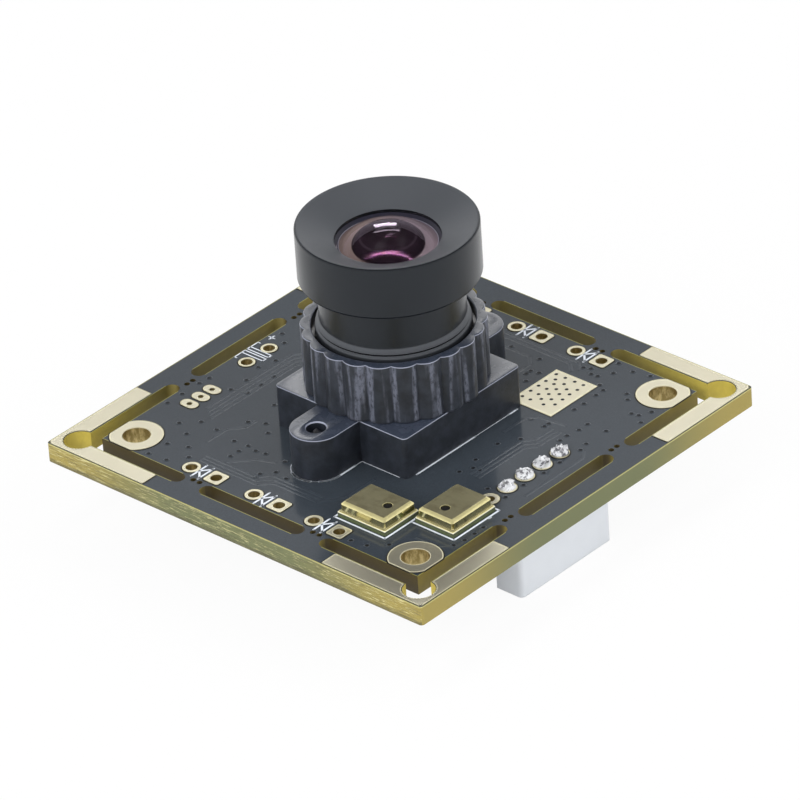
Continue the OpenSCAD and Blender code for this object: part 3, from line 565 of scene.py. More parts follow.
def lens_glass(name, tint):
    """Clear glass inside the lens or over the sensor."""
    return Finish(name, Base_Color=tint, Roughness=0.0, IOR=1.5, Transmission_Weight=1.0).material


def front_glass_finish():
    """Coated front lens: it bends what lies behind it, reflects little and casts no shadow."""
    finish = Finish("coated_front_glass", Base_Color=tone("coating"), Roughness=0.0, Metallic=1.0)
    film = Signal(finish.tree, finish.shader.outputs[0])
    sockets = {"Color": (0.97, 0.94, 0.97), "Roughness": 0.0, "IOR": 1.5}
    bent = finish.node("ShaderNodeBsdfRefraction", {}, sockets)["BSDF"]
    clear = finish.node("ShaderNodeBsdfTransparent")["BSDF"]
    coated = finish.either(finish.node("ShaderNodeFresnel", {}, {"IOR": 1.28})[0], bent, film)
    finish.show(finish.either(finish.node("ShaderNodeLightPath")["Is Shadow Ray"], coated, clear))
    return finish.material


def lens_back_shade_finish(hollow):
    """Back of the front lens: a greyed mauve shoulder round a dark bowl; the bowl is painted shade for the
    dark inside of the lens.
    """
    finish = Finish("coated_lens_back", IOR=1.12)
    x, y, _ = finish.axes()
    r = finish.radius()
    flat = finish.clouded(finish.grain(1.2, 3.0), tone("shoulder"), 0.88, 1.10)
    # Painted shade: the shoulder warmer and darker on its left side
    flat = finish.blend(finish.rise(x - y, -2.5, 2.5), tone("shoulder_left_shade"), flat)
    flat = finish.blend(finish.rise(r, 3.66, 3.74), flat, (0.012, 0.009, 0.015))
    # Painted shade: the dark bowl stands for the dark inside of the lens
    bowl = finish.blend(finish.rise(r, 0.5, hollow), (0.006, 0.004, 0.005), (0.013, 0.008, 0.012))
    ring = finish.rise(abs(r - (hollow - 0.42)), 0.09, 0.02)
    bowl = finish.blend(ring * 0.3, bowl, (0.05, 0.038, 0.048))
    inside = finish.rise(r, hollow + 0.03, hollow - 0.02)
    finish.set("Base Color", finish.blend(inside, flat, bowl))
    finish.set("Roughness", 0.45 - inside * 0.38)
    return finish.material


def black_ring_finish():
    """Blackened rings inside the lens."""
    return dull_finish("blackened_ring", 2.0, (0.006, 0.006, 0.007), (0.016, 0.016, 0.017), 0.55)


def can_finish():
    """Gold-flashed can: brownish brushed roof, bright bevel and walls."""
    finish = Finish("microphone_can")
    _, _, upward = finish.facing()
    level = finish.rise(upward, 0.90, 0.99)
    upright = finish.rise(upward, 0.35, 0.10)
    brushed = finish.grain(3.2, 4.0, 0.6, (1.0, 0.25, 1.0))
    roof = finish.clouded(brushed, tone("brass"), 0.80, 1.12)
    stained = finish.rise(finish.grain(0.9, 3.0, 0.6), 0.45, 0.65)
    roof = finish.blend(stained * 0.35, roof, tone("brass_stain"))
    wall = finish.clouded(brushed, tone("brass_edge"), 0.72, 1.0)
    finish.set("Base Color", finish.blend(level, wall, roof))
    finish.set("Metallic", 0.58 + upright * 0.40)
    finish.set("Roughness", 0.20 + brushed * 0.08 - upright * 0.10)
    finish.bump(brushed, 0.01, 0.4)
    return finish.material


def mic_base_finish():
    """Cut laminate with a cream line along its top and a dark line under that."""
    finish = Finish("microphone_laminate", Roughness=0.55)
    _, _, z = finish.axes()
    top = extent("left_mic_base")[1][2]
    band = finish.rise(z, top - 0.08, top - 0.06)
    under = finish.rise(abs(z - (top - 0.11)), 0.04, 0.02)
    fibre = finish.grain(5.0, 4.0, 0.7, (1.0, 1.0, 0.4))
    body = finish.clouded(fibre, tone("mic_laminate"), 0.6, 1.5)
    body = finish.blend(under * 0.8, body, (0.012, 0.015, 0.008))
    finish.set("Base Color", finish.blend(band, body, tone("mic_laminate_top")))
    finish.bump(fibre, 0.02, 0.6)
    return finish.material


def housing_finish():
    """White moulded plastic with soft edges."""
    finish = Finish("white_housing", Roughness=0.42, IOR=1.5)
    cloud = finish.grain(0.6, 3.0)
    finish.set("Base Color", finish.clouded(cloud, tone("housing"), 0.96, 1.03))
    finish.bump(cloud, 0.02, 0.4, Normal=finish.softened(0.18))
    return finish.material


def solder_finish():
    """Bright crumpled solder, with painted shade in its folds."""
    finish = Finish("bright_solder", Metallic=0.35)
    fold = finish.grain(2.6, 4.0, 0.7)
    # Painted shade: the low places of the folds are dark
    finish.set("Base Color", finish.blend(finish.rise(fold, 0.38, 0.52), tone("solder_fold_shade"), tone("solder")))
    finish.set("Roughness", 0.20 + fold * 0.2)
    finish.bump(fold, 0.10, 0.8)
    return finish.material


def metal_finish(name, rgb, roughness=0.28):
    """Plated metal with fine clouding."""
    finish = Finish(name, Metallic=1.0)
    cloud = finish.grain(2.0, 4.0, 0.65)
    finish.set("Base Color", finish.clouded(cloud, rgb, 0.85, 1.1))
    finish.set("Roughness", roughness + cloud * 0.12)
    finish.bump(cloud, 0.01, 0.4)
    return finish.material


def moulded_finish(name, rgb, roughness=0.5):
    """Moulded or fired surface with a fine grain and a painted highlight along its edges."""
    finish = Finish(name)
    cloud = finish.grain(3.0, 4.0, 0.65)
    body = finish.clouded(cloud, rgb, 0.85, 1.15)
    # Painted highlight: the edges twice as light
    finish.set("Base Color", finish.blend(finish.edges(0.05) * 0.4, body, shade(rgb, 2.0)))
    finish.set("Roughness", roughness + cloud * 0.12)
    finish.bump(cloud, 0.015, 0.5)
    return finish.material


# Meshes


class Shell:
    """Points and faces of a piece, in millimetres, collected loop by loop."""

    def __init__(self):
        self.points = []
        self.faces = []

    def loop(self, points):
        """Adds points and gives back their numbers."""
        start = len(self.points)
        self.points.extend(points)
        return list(range(start, len(self.points)))

    def face(self, points):
        """Adds one flat face."""
        self.faces.append(tuple(self.loop(points)))

    def skin(self, lower, upper, closed=True):
        """Quads between two loops with the same number of points."""
        count = len(lower)
        for i in range(count if closed else count - 1):
            j = (i + 1) % count
            self.faces.append((lower[i], lower[j], upper[j], upper[i]))

    def stack(self, loops):
        """Skins a row of loops and gives back the numbers of the first and the last."""
        numbers = [self.loop(points) for points in loops]
        for lower, upper in zip(numbers, numbers[1:]):
            self.skin(lower, upper)
        return numbers[0], numbers[-1]

    def sheet(self, outer, holes=(), down=False):
        """Fills a flat loop that may have holes."""
        rings = [outer, *holes]
        flat = [number for ring in rings for number in ring]
        made = tessellate_polygon([[Vector(self.points[n]) for n in ring] for ring in rings])
        for a, b, c in made:
            first, second, third = (Vector(self.points[flat[k]]) for k in (a, b, c))
            upward = (second - first).cross(third - first).z > 0
            corners = (flat[a], flat[b], flat[c])
            self.faces.append(corners if upward != down else corners[::-1])


def new_object(name, shell, material):
    """An object made of a shell, in metres."""
    mesh = bpy.data.meshes.new(name)
    mesh.from_pydata([(x * MM, y * MM, z * MM) for x, y, z in shell.points], [], shell.faces)
    mesh.materials.append(material)
    made = bpy.data.objects.new(name, mesh)
    bpy.context.scene.collection.objects.link(made)
    return made


def add_piece(name, shell, material, angle=32.0, replaced=()):
    """Makes a piece of the part from a shell, smooth up to an angle in degrees."""
    piece = new_object(name, shell, material)
    piece.data.validate()
    piece.data.polygons.foreach_set("use_smooth", [True] * len(piece.data.polygons))
    piece.data.set_sharp_from_angle(angle=math.radians(angle))
    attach(piece, "root")
    if replaced:
        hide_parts(*replaced)
    return piece


def dress(material, *nodes):
    """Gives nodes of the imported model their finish."""
    for node in nodes:
        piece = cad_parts[node]
        if not piece.material_slots:
            raise RuntimeError(f"{node} has no material slot")
        for place in piece.material_slots:
            place.material = material


def circle(x, y, r, z, count=32, start=0.0):
    """Points of a level circle."""
    angles = [start + 2 * math.pi * i / count for i in range(count)]
    return [(x + r * math.cos(a), y + r * math.sin(a), z) for a in angles]


def arc(x, y, r, first, last, count):
    """Points of an arc in the plane, with angles in degrees."""
    steps = [math.radians(first + (last - first) * i / (count - 1)) for i in range(count)]
    return [(x + r * math.cos(a), y + r * math.sin(a)) for a in steps]


def lathe(profile, count=160, outward=True):
    """A shell turned round the lens axis from points of radius and height."""
    shell = Shell()
    rings = [
        shell.loop(circle(0.0, 0.0, r, z, count) if r > 1e-6 else [(0.0, 0.0, z)])
        for r, z in profile
    ]
    for first, second in zip(rings, rings[1:]):
        if len(first) == 1:
            shell.faces.extend((first[0], second[(i + 1) % count], second[i]) for i in range(count))
        elif len(second) == 1:
            shell.faces.extend((first[i], first[(i + 1) % count], second[0]) for i in range(count))
        else:
            shell.skin(first, second)
    if not outward:
        shell.faces = [face[::-1] for face in shell.faces]
    return shell


def rounded_loop(x, y, length_x, length_y, r, z, turn=0.0, steps=6):
    """A level rectangle with rounded corners, turned about its middle by degrees."""
    points = []
    for k, (sx, sy) in enumerate(((1, 1), (-1, 1), (-1, -1), (1, -1))):
        points += arc(sx * (length_x / 2 - r), sy * (length_y / 2 - r), r, 90 * k, 90 * k + 90, steps)
    a = math.radians(turn)
    return [
        (x + px * math.cos(a) - py * math.sin(a), y + px * math.sin(a) + py * math.cos(a), z)
        for px, py in points
    ]


def ribbon(shell, points, width, z):
    """A printed line of a width through points, with round ends."""
    half = width / 2
    for (x0, y0), (x1, y1) in zip(points, points[1:]):
        run = math.hypot(x1 - x0, y1 - y0)
        nx, ny = -(y1 - y0) / run * half, (x1 - x0) / run * half
        shell.face([
            (x0 - nx, y0 - ny, z),
            (x1 - nx, y1 - ny, z),
            (x1 + nx, y1 + ny, z),
            (x0 + nx, y0 + ny, z),
        ])
    for x, y in points:
        shell.face(circle(x, y, half, z, 10))


# Marks on the board

LEAD_PITCH = 2.54
LAMP_X, LAMP_ROWS = 14.97, (6.4, 0.0, -6.05)
ROUND_PAD, SQUARE_PAD, SQUARE_PAD_CORNER = 0.71, 1.48, 0.2
UPPER_PAD, UPPER_X, UPPER_Y = 0.66, -0.08, 14.58
UPPER_PADS = [(UPPER_X + side * LEAD_PITCH / 2, UPPER_Y) for side in (-1, 1)]
OVAL_PAD, OVAL_X, OVAL_Y, OVAL_PITCH = (0.96, 1.56), -7.16, 14.0, 1.27
OVAL_PADS = [(OVAL_X + k * OVAL_PITCH, OVAL_Y) for k in (-1, 0, 1)]
PIN_PAD, PIN_X, PIN_Y, PIN_PITCH, PIN_COUNT = 0.75, 0.1, -13.35, 2.0, 4
PIN_PADS = [(PIN_X + PIN_PITCH * (k - (PIN_COUNT - 1) / 2), PIN_Y) for k in range(-1, PIN_COUNT)]
LEAD_HOLE, OVAL_HOLE, MOUNT_HOLE = 0.47, 0.225, 1.1
MOUNT_AT, MOUNT_LAND, LAND_LIMIT = 14.15, 2.075, 15.94
CORNERS = [(x, y) for x in (-1, 1) for y in (-1, 1)]
HEAT_PAD = [(6.68, -9.36), (11.88, -9.36), (11.88, -5.46), (7.63, -5.46), (6.68, -6.41)]
HEAT_PAD_MIDDLE = (9.28, -7.41)
STRIP_IN, STRIP_OUT, STRIP_REACH = 17.37, 18.88, 9.1
RIM_HOLE_AT, RIM_HOLE_MARGIN = 17.2, 1.31
MARK_LIFT, RIM_HIGHLIGHT_LIFT, HEAT_HOLE_LIFT = 0.006, 0.003, 0.004


def lamp_pads(lead):
    """Places of one of the two pads (1 or -1) of each lamp."""
    return [(side * LAMP_X, row + lead * LEAD_PITCH / 2) for side in (-1, 1) for row in LAMP_ROWS]


def land_outline(x, y, r, z):
    """A round land, cut flat along the edges of the inner board."""
    points = circle(MOUNT_AT, MOUNT_AT, r, z, 72)
    limit = LAND_LIMIT - (MOUNT_LAND - r)
    points = [(min(px, limit) * x, min(py, limit) * y, z) for px, py, _ in points]
    return points if x * y > 0 else points[::-1]


def pad_outlines(z, grow=0.0):
    """Outline of each pad that stands free, made wider by a margin."""
    outlines = [circle(x, y, ROUND_PAD + grow, z, 36) for x, y in lamp_pads(1)]
    side, corner = SQUARE_PAD + 2 * grow, SQUARE_PAD_CORNER + grow
    outlines += [rounded_loop(x, y, side, side, corner, z) for x, y in lamp_pads(-1)]
    outlines += [circle(x, y, UPPER_PAD + grow, z, 36) for x, y in UPPER_PADS]
    width, height = (size + 2 * grow for size in OVAL_PAD)
    outlines += [rounded_loop(x, y, width, height, width / 2 - 0.001, z) for x, y in OVAL_PADS]
    outlines += [circle(x, y, PIN_PAD + grow, z, 36) for x, y in PIN_PADS]
    return outlines + [land_outline(x, y, MOUNT_LAND + grow, z) for x, y in CORNERS]


def lamp_symbol(x, y):
    """Lines of the diode sign between two lamp pads: bar, and triangle on a second bar."""
    top, bottom = y + 0.50, y - 0.20
    return [
        [(x - 0.90, top), (x + 0.90, top)],
        [(x - 0.90, bottom), (x + 0.90, bottom)],
        [(x - 0.72, bottom), (x, top - 0.04), (x + 0.72, bottom)],
    ]


def plate_symbol(side):
    """Lines of one half (1 or -1) of the sign between the upper pads: an open plate and its lead."""
    x, half = 0.03 + side * 0.315, 0.185
    plate = [(x - half, 13.72), (x + half, 13.72), (x + half, 15.92), (x - half, 15.92)]
    near, end = x + side * half, x + side * 1.015
    return [(plate + plate[:1], 0.65), ([(near, 15.90), (end, 15.90), (end, 15.66)], 0.65)]


def silk_lines():
    """All printed lines of the board, as lists of points with their share of the full width."""
    plus = [([(2.22, 15.5), (2.78, 15.5)], 0.8), ([(2.5, 15.22), (2.5, 15.78)], 0.8)]
    round_microphones = [
        ([(-9.42, -5.62), (-13.62, -5.62), (-13.62, -10.66), (-9.66, -10.66)], 1.0),
        ([(-5.63, -10.8), (-5.63, -14.92), (-10.72, -14.92), (-10.72, -10.80)], 1.0),
        ([(-6.95, -15.05), (-6.72, -15.05)], 1.0),
    ]
    ear = (9.15, 0.0, 2.12)
    left_ear = ((105, 150, 0.35), (150, 205, 1.25), (205, 222, 0.35), (222, 270, 1.0))
    round_holder = [(arc(-ear[0], *ear[1:], first, last, 12), share) for first, last, share in left_ear]
    round_holder += [
        ([(-9.15, -2.12), (-7.4, -2.12)], 1.0),
        ([(-7.4, -2.12), (-6.66, -2.12), (-6.66, -5.9)], 0.35),
        ([(-5.56, -6.66), (1.09, -6.66)], 1.0),
        ([(1.09, -6.66), (4.9, -6.66)], 0.3),
        ([(4.9, -6.66), (5.9, -6.66)], 1.0),
        (arc(*ear, -80, -50, 6), 1.0),
    ]
    lamps = [
        (line, 1.0)
        for side in (-1, 1)
        for row in LAMP_ROWS
        for line in lamp_symbol(side * LAMP_X, row)
    ]
    return lamps + plate_symbol(-1) + plate_symbol(1) + plus + round_microphones + round_holder


# Places of the covered vias and of the holes in the heat pad, read from the photograph
VIAS = [
    (8.43, -10.18), (9.5, -10.23), (10.98, -10.18), (11.85, -10.15), (12.28, -9.45), (13.1, -7.88),
    (13.15, -8.48), (13.68, -7.35), (13.45, -6.8), (14.2, -9.18), (15.53, -8.58), (15.23, -10.25),
    (15.55, -11.72), (12.53, -11.92), (11.92, -12.52), (6.43, -12.37), (7.45, -12.35), (7.55, -14.12),
    (10.57, -14.05), (10.7, -14.65), (11.65, -15.12), (10.03, -15.45), (5.28, -12.16), (4.45, -12.19),
    (5.26, -14.08), (4.35, -14.3), (2.1, -14.2), (0.26, -14.19), (-1.92, -14.08), (-4, -14.1),
    (-3.9, -12.24), (5.26, -9.93), (5.76, -9.92), (5.47, -8.42), (2.84, -9.65), (1.3, -8.7),
    (-1.37, -8.84), (-3.37, -8.97), (-2.37, -9.47), (-2.3, -10.05), (12.5, -0.32), (12.4, -3.28),
    (10.2, -3.84), (10.7, -3.84), (9.37, -4.53), (10.86, -4.55), (-9.3, 15.47), (-7.68, 15.47),
    (-5.76, 15.47), (-4.76, 15.35), (-1.35, 13.37), (0.19, 12.95), (2.5, 14.18), (3.42, 15.26),
    (-3.28, 12.84), (-5, 12.86), (-4.58, 11.5), (-3.1, 11.45), (-1.63, 11.47), (-9.78, 11.52),
    (-7.65, 8.63), (-4.68, 8.65), (-10.9, 12.77), (-13.6, 11.47), (-11.7, 11.22), (-15.47, 11.65),
    (-15.32, 9.95), (-13, 9.82), (-14.03, 8.83), (-9.9, 9.8), (-10.3, 7.6), (-7.03, 7.35),
    (-12.05, 6.38), (-11.15, 6.36), (-10.17, 6.3), (-7.92, 6.32), (-10.35, 5.34), (-10.21, 4.45),
    (-13.07, 2.87), (-12.55, 2.89), (-11.66, 2.08), (-11.86, 0.84), (-10.16, 2.53), (-15.1, -10.2),
    (-15.3, -8.8), (-14.03, -11.45), (-11.25, -15.35), (-10.25, -15.55), (-9.15, -15.55), (-8.1, -15.5),
]
HEAT_VIAS = [
    (7.5, -5.8), (8.46, -5.8), (9.38, -5.8), (10.23, -5.8), (11.44, -5.8), (10.82, -6.25),
    (7.5, -6.6), (8.45, -6.6), (9.4, -6.6), (10.25, -6.6), (11.45, -6.7), (8.05, -7.22),
    (8.92, -7.22), (9.8, -7.22), (10.7, -7.22), (7.55, -7.87), (8.47, -7.87), (9.4, -7.87),
    (10.25, -7.87), (11.45, -7.65), (8.07, -8.58), (8.95, -8.58), (9.83, -8.52), (10.67, -8.58),
    (11.47, -8.5),
]


def track_lines():
    """Tracks under the mask, as lists of points: four bundles, then single ones."""
    lines = []
    for k in range(4):
        x, y = 0.3 * k, 11.25 + 0.42 * k
        lines.append([(x - 9.0, y), (x + 0.6, y), (1.9 + 0.35 * k, y - 1.2), (6.0, y - 1.3 - 0.1 * k)])
    for k in range(3):
        x, y = -0.3 * k, -9.9 - 0.4 * k
        lines.append([(-3.2, y), (x + 2.6, y), (x + 3.4, y - 0.7), (5.4, y - 0.8)])
    for k in range(3):
        x, y = -13.8 + 0.38 * k, 0.4 * k
        lines.append([(x, 7.9), (x, y + 2.0), (x + 0.9, y + 1.1), (x + 0.9, -3.2)])
    for k in range(2):
        x, y = 13.3 + 0.5 * k, -0.4 * k
        lines.append([(x, 9.5), (x, y - 5.6), (x - 0.8, y - 6.4)])
    return lines + [
        [(-12.9, 6.0), (-11.2, 4.4), (-10.7, 3.0)],
        [(-11.6, 9.2), (-9.4, 9.2), (-8.4, 8.2), (-7.2, 8.2)],
        [(12.2, 3.0), (12.2, -2.4), (11.4, -3.2), (9.2, -3.2)],
        [(2.8, -8.0), (5.2, -8.0), (6.0, -8.8), (6.3, -11.2)],
        [(5.8, 9.8), (10.2, 9.8), (11.4, 8.6), (11.4, 6.2)],
        [(6.6, 12.4), (9.6, 12.4), (11.0, 11.0)],
        [(-3.0, -15.2), (3.6, -15.2), (4.4, -14.6)],
        [(-12.2, -12.4), (-12.2, -14.6), (-11.4, -15.4)],
        [(-12.9, -3.2), (-11.0, -4.6), (-8.0, -4.6)],
    ]


def grown(point, middle, width):
    """A point moved away from a middle by a width along each axis."""
    return tuple(value + math.copysign(width, value - centre) for value, centre in zip(point, middle))


def level_ring(shell, inner, outer):
    """A flat ring between two outlines with the same number of points."""
    first, second = shell.loop(inner), shell.loop(outer)
    start = len(shell.faces)
    shell.skin(first, second)
    shell.faces[start:] = [face[::-1] for face in shell.faces[start:]]


def strip_outline(x, y):
    """Outline of a corner strip's metal, inside its edges and round the corner hole."""
    edge, r = 0.04, 0.14
    out, low, reach = STRIP_OUT - edge, STRIP_IN + edge, STRIP_REACH + edge
    bend = arc(out - r, out - r, r, 0, 90, 8)
    hole = arc(RIM_HOLE_AT, RIM_HOLE_AT, RIM_HOLE_MARGIN + edge, 170, -80, 26)
    points = [(low, reach), (out, reach), *bend, (reach, out), (reach, low)]
    points += [(px, py) for px, py in hole if px > low - 0.3 or py > low - 0.3]
    return [(px * x, py * y) for px, py in points]


def window_shell(width, z):
    """Gaps of a width round the pads, the heat pad and the ends of the corner strips."""
    gaps = Shell()
    for inner, outer in zip(pad_outlines(z), pad_outlines(z, width)):
        level_ring(gaps, inner, outer)
    wide = [grown(point, HEAT_PAD_MIDDLE, width * 1.4) for point in HEAT_PAD]
    level_ring(gaps, [(x, y, z) for x, y in HEAT_PAD], [(x, y, z) for x, y in wide])
    low = STRIP_REACH - width
    end = [(STRIP_IN, low), (STRIP_OUT, low), (STRIP_OUT, STRIP_REACH), (STRIP_IN, STRIP_REACH)]
    for x, y in CORNERS:
        for swap in (False, True):
            corners = [(b * x, a * y, z) if swap else (a * x, b * y, z) for a, b in end]
            gaps.face(corners if (x * y > 0) != swap else corners[::-1])
    return gaps


def rim_highlight_shell(width, z):
    """Painted highlights: rims of a width along the edges of the pads and round the holes in them."""
    rims = Shell()
    for inner, outer in zip(pad_outlines(z, -width), pad_outlines(z)):
        level_ring(rims, inner, outer)
    holes = [(place, LEAD_HOLE) for place in lamp_pads(1) + lamp_pads(-1) + UPPER_PADS]
    holes += [(place, OVAL_HOLE) for place in OVAL_PADS]
    holes += [((x * MOUNT_AT, y * MOUNT_AT), MOUNT_HOLE) for x, y in CORNERS]
    for (x, y), r in holes:
        level_ring(rims, circle(x, y, r, z, 36), circle(x, y, r + width * 0.7, z, 36))
    narrow = [grown(point, HEAT_PAD_MIDDLE, -width * 1.4) for point in HEAT_PAD]
    level_ring(rims, [(x, y, z) for x, y in narrow], [(x, y, z) for x, y in HEAT_PAD])
    for outline in (strip_outline(x, y) for x, y in CORNERS):
        ribbon(rims, outline + outline[:1], width, z)
    return rims


class AddMaskWindows(bpy.types.Operator):
    """Adds the dark gaps that the mask leaves round the pads, and a painted highlight along the pads' rims"""

    bl_idname = "camera_module.add_mask_windows"
    bl_label = "Mask windows and pad rims"

    def execute(self, context):
        sizes = context.scene.board_mark_sizes
        gaps = window_shell(mm(sizes.window_width), TOP + MARK_LIFT)
        add_piece("mask_windows", gaps, window_finish())
        # The pads' rims are painted as a bright highlight
        rims = rim_highlight_shell(mm(sizes.rim_highlight_width), PAD_TOP + RIM_HIGHLIGHT_LIFT)
        add_piece("pad_rims", rims, rim_highlight_finish())
        return {"FINISHED"}


class AddSilkMarks(bpy.types.Operator):
    """Adds the white printed lines: lamp signs, capacitor's sign, plus sign and part outlines"""

    bl_idname = "camera_module.add_silk_marks"
    bl_label = "Silk marks"

    def execute(self, context):
        sizes = context.scene.board_mark_sizes
        shell = Shell()
        for line, share in silk_lines():
            ribbon(shell, line, mm(sizes.silk_width) * share, TOP + mm(sizes.silk_lift))
        add_piece("silk_marks", shell, silk_finish())
        return {"FINISHED"}


class AddVias(bpy.types.Operator):
    """Adds the covered vias of the board and the holes in the heat pad"""

    bl_idname = "camera_module.add_vias"
    bl_label = "Vias"

    def execute(self, context):
        sizes = context.scene.board_mark_sizes
        hole, rim = mm(sizes.via_hole), mm(sizes.via_rim)
        rings = ((rim, 0.002), (rim * 0.82, 0.028), (hole * 1.1, 0.024), (hole * 0.95, 0.004))
        rims, holes = Shell(), Shell()
        # Painted shade: a dark disc in the dimple of each via and in each hole of the heat pad
        for x, y in VIAS:
            rims.stack([circle(x, y, r, TOP + lift, 20) for r, lift in rings])
            holes.face(circle(x, y, hole, TOP + MARK_LIFT, 20))
        for x, y in HEAT_VIAS:
            holes.face(circle(x, y, hole * 0.95, PAD_TOP + HEAT_HOLE_LIFT, 20))
        add_piece("via_rims", rims, track_finish())
        add_piece("via_holes", holes, hole_shade_finish())
        return {"FINISHED"}


class AddTracks(bpy.types.Operator):
    """Adds the faint relief of the tracks under the solder mask"""

    bl_idname = "camera_module.add_tracks"
    bl_label = "Tracks"

    def execute(self, context):
        sizes = context.scene.board_mark_sizes
        width, height = mm(sizes.track_width), mm(sizes.track_height)
        shell = Shell()
        for line in track_lines():
            for (x0, y0), (x1, y1) in zip(line, line[1:]):
                run = math.hypot(x1 - x0, y1 - y0)
                nx, ny = -(y1 - y0) / run, (x1 - x0) / run
                ends = []
                for x, y in ((x0, y0), (x1, y1)):
                    ends.append(shell.loop([
                        (x + nx * width * share, y + ny * width * share, TOP + lift)
                        for share, lift in ((-0.75, 0.001), (-0.4, height), (0.4, height), (0.75, 0.001))
                    ]))
                shell.skin(ends[0], ends[1], closed=False)
        add_piece("mask_tracks", shell, track_finish(), angle=60.0)
        return {"FINISHED"}


class FinishBoard(bpy.types.Operator):
    """Gives the board its mask and laminate and the pads their gold"""

    bl_idname = "camera_module.finish_board"
    bl_label = "Board and pads"

    def execute(self, context):
        dress(board_finish(), "circuit_board")
        dress(gold_finish(), "copper_pads")
        return {"FINISHED"}


# Lens holder

FOOT_HALF, FOOT_HEIGHT, FOOT_CORNER = 6.6, 3.55, 0.4
EAR_R, EAR_BEVEL = 2.03, 0.16
EAR_X = EAR_END - EAR_R
THREAD_R, MOUTH_R, MOUTH_DEPTH = 6.0, 6.25, 0.9
RIB_STEPS = 14


def foot_loop(inset, z):
    """Outline of the square foot with its two ears, drawn in by an inset."""
    half, corner, ear = FOOT_HALF - inset, FOOT_CORNER - inset, EAR_R - inset
    at = half - corner
    points = arc(EAR_X, 0.0, ear, -90, 90, 25) + [(half, ear)]
    points += arc(at, at, corner, 0, 90, 7) + arc(-at, at, corner, 90, 180, 7) + [(-half, ear)]
    points += arc(-EAR_X, 0.0, ear, 90, 270, 25) + [(-half, -ear)]
    points += arc(-at, -at, corner, 180, 270, 7) + arc(at, -at, corner, 270, 360, 7) + [(half, -ear)]
    return [(x, y, z) for x, y in points]


def rib_loop(sizes, inset, z):
    """Outline of the ribbed barrel: round lobes that meet in valleys."""
    tip = mm(sizes.rib_tip)
    low = tip - mm(sizes.rib_depth)
    half = math.pi / sizes.rib_count
    lobe = (low * low - 2 * low * tip * math.cos(half) + tip * tip) / (2 * (tip - low * math.cos(half)))
    middle = tip - lobe
    points = []
    for rib in range(sizes.rib_count):
        for step in range(RIB_STEPS):
            off = half * (2 * step / RIB_STEPS - 1)
            r = middle * math.cos(off) + math.sqrt(lobe * lobe - (middle * math.sin(off)) ** 2) - inset
            a = sizes.rib_turn + 2 * half * rib + off
            points.append((r * math.cos(a), r * math.sin(a), z))
    return points


class AddLensHolder(bpy.types.Operator):
    """Adds the moulded holder: square foot, two ears and ribbed barrel"""

    bl_idname = "camera_module.add_lens_holder"
    bl_label = "Lens holder"

    def execute(self, context):
        sizes = context.scene.holder_sizes
        edge, hole = mm(sizes.edge), mm(sizes.ear_hole)
        foot_top = TOP + FOOT_HEIGHT
        shell = Shell()
        _, roof = shell.stack([
            foot_loop(0.0, TOP),
            foot_loop(0.0, foot_top - edge * 1.4),
            foot_loop(0.0, foot_top - edge),
            foot_loop(edge * 0.3, foot_top - edge * 0.3),
            foot_loop(edge, foot_top),
        ])
        well = (
            (hole, TOP),
            (hole, foot_top - EAR_BEVEL),
            (hole + 0.06, foot_top - 0.05),
            (hole + EAR_BEVEL, foot_top),
        )
        mouths = []
        for x in (-EAR_X, EAR_X):
            _, mouth = shell.stack([circle(x, 0.0, r, z, 40)[::-1] for r, z in well])
            mouths.append(mouth)
        bore = shell.loop(circle(0.0, 0.0, THREAD_R, foot_top, 96)[::-1])
        shell.sheet(roof, [*mouths, bore])
        start = sizes.rib_turn - math.pi / sizes.rib_count

        def ring(r, z):
            """A circle with as many points as the outline of the ribs, and with the same start."""
            return circle(0.0, 0.0, r, z, sizes.rib_count * RIB_STEPS, start)

        ring_base = foot_top + 0.001
        shell.stack([
            ring(THREAD_R, ring_base),
            rib_loop(sizes, edge * 0.8, ring_base),
            rib_loop(sizes, 0.0, foot_top + edge * 0.8),
            rib_loop(sizes, 0.0, HOLDER_TOP - edge * 1.4),
            rib_loop(sizes, 0.0, HOLDER_TOP - edge),
            rib_loop(sizes, edge * 0.3, HOLDER_TOP - edge * 0.3),
            rib_loop(sizes, edge, HOLDER_TOP),
            ring(MOUTH_R + edge * 0.8, HOLDER_TOP),
            ring(MOUTH_R, HOLDER_TOP - edge * 0.8),
            ring(MOUTH_R, HOLDER_TOP - MOUTH_DEPTH),
            ring(THREAD_R, HOLDER_TOP - MOUTH_DEPTH - 0.05),
            ring(THREAD_R, ring_base),
        ])
        add_piece("moulded_holder", shell, holder_finish(), 28.0, ["lens_holder"])
        dress(metal_finish("zinc_screw", (0.16, 0.16, 0.17), 0.32), "holder_screws")
        return {"FINISHED"}


# Lens

BARREL_BORE, THREAD_LENGTH, NECK_LENGTH, NECK_FILLET = 4.7, 5.7, 3.95, 0.6
FUNNEL_DEPTH, WINDOW_DEPTH = 1.19, 0.55
SHOULDER = LENS_FRONT - FUNNEL_DEPTH - WINDOW_DEPTH


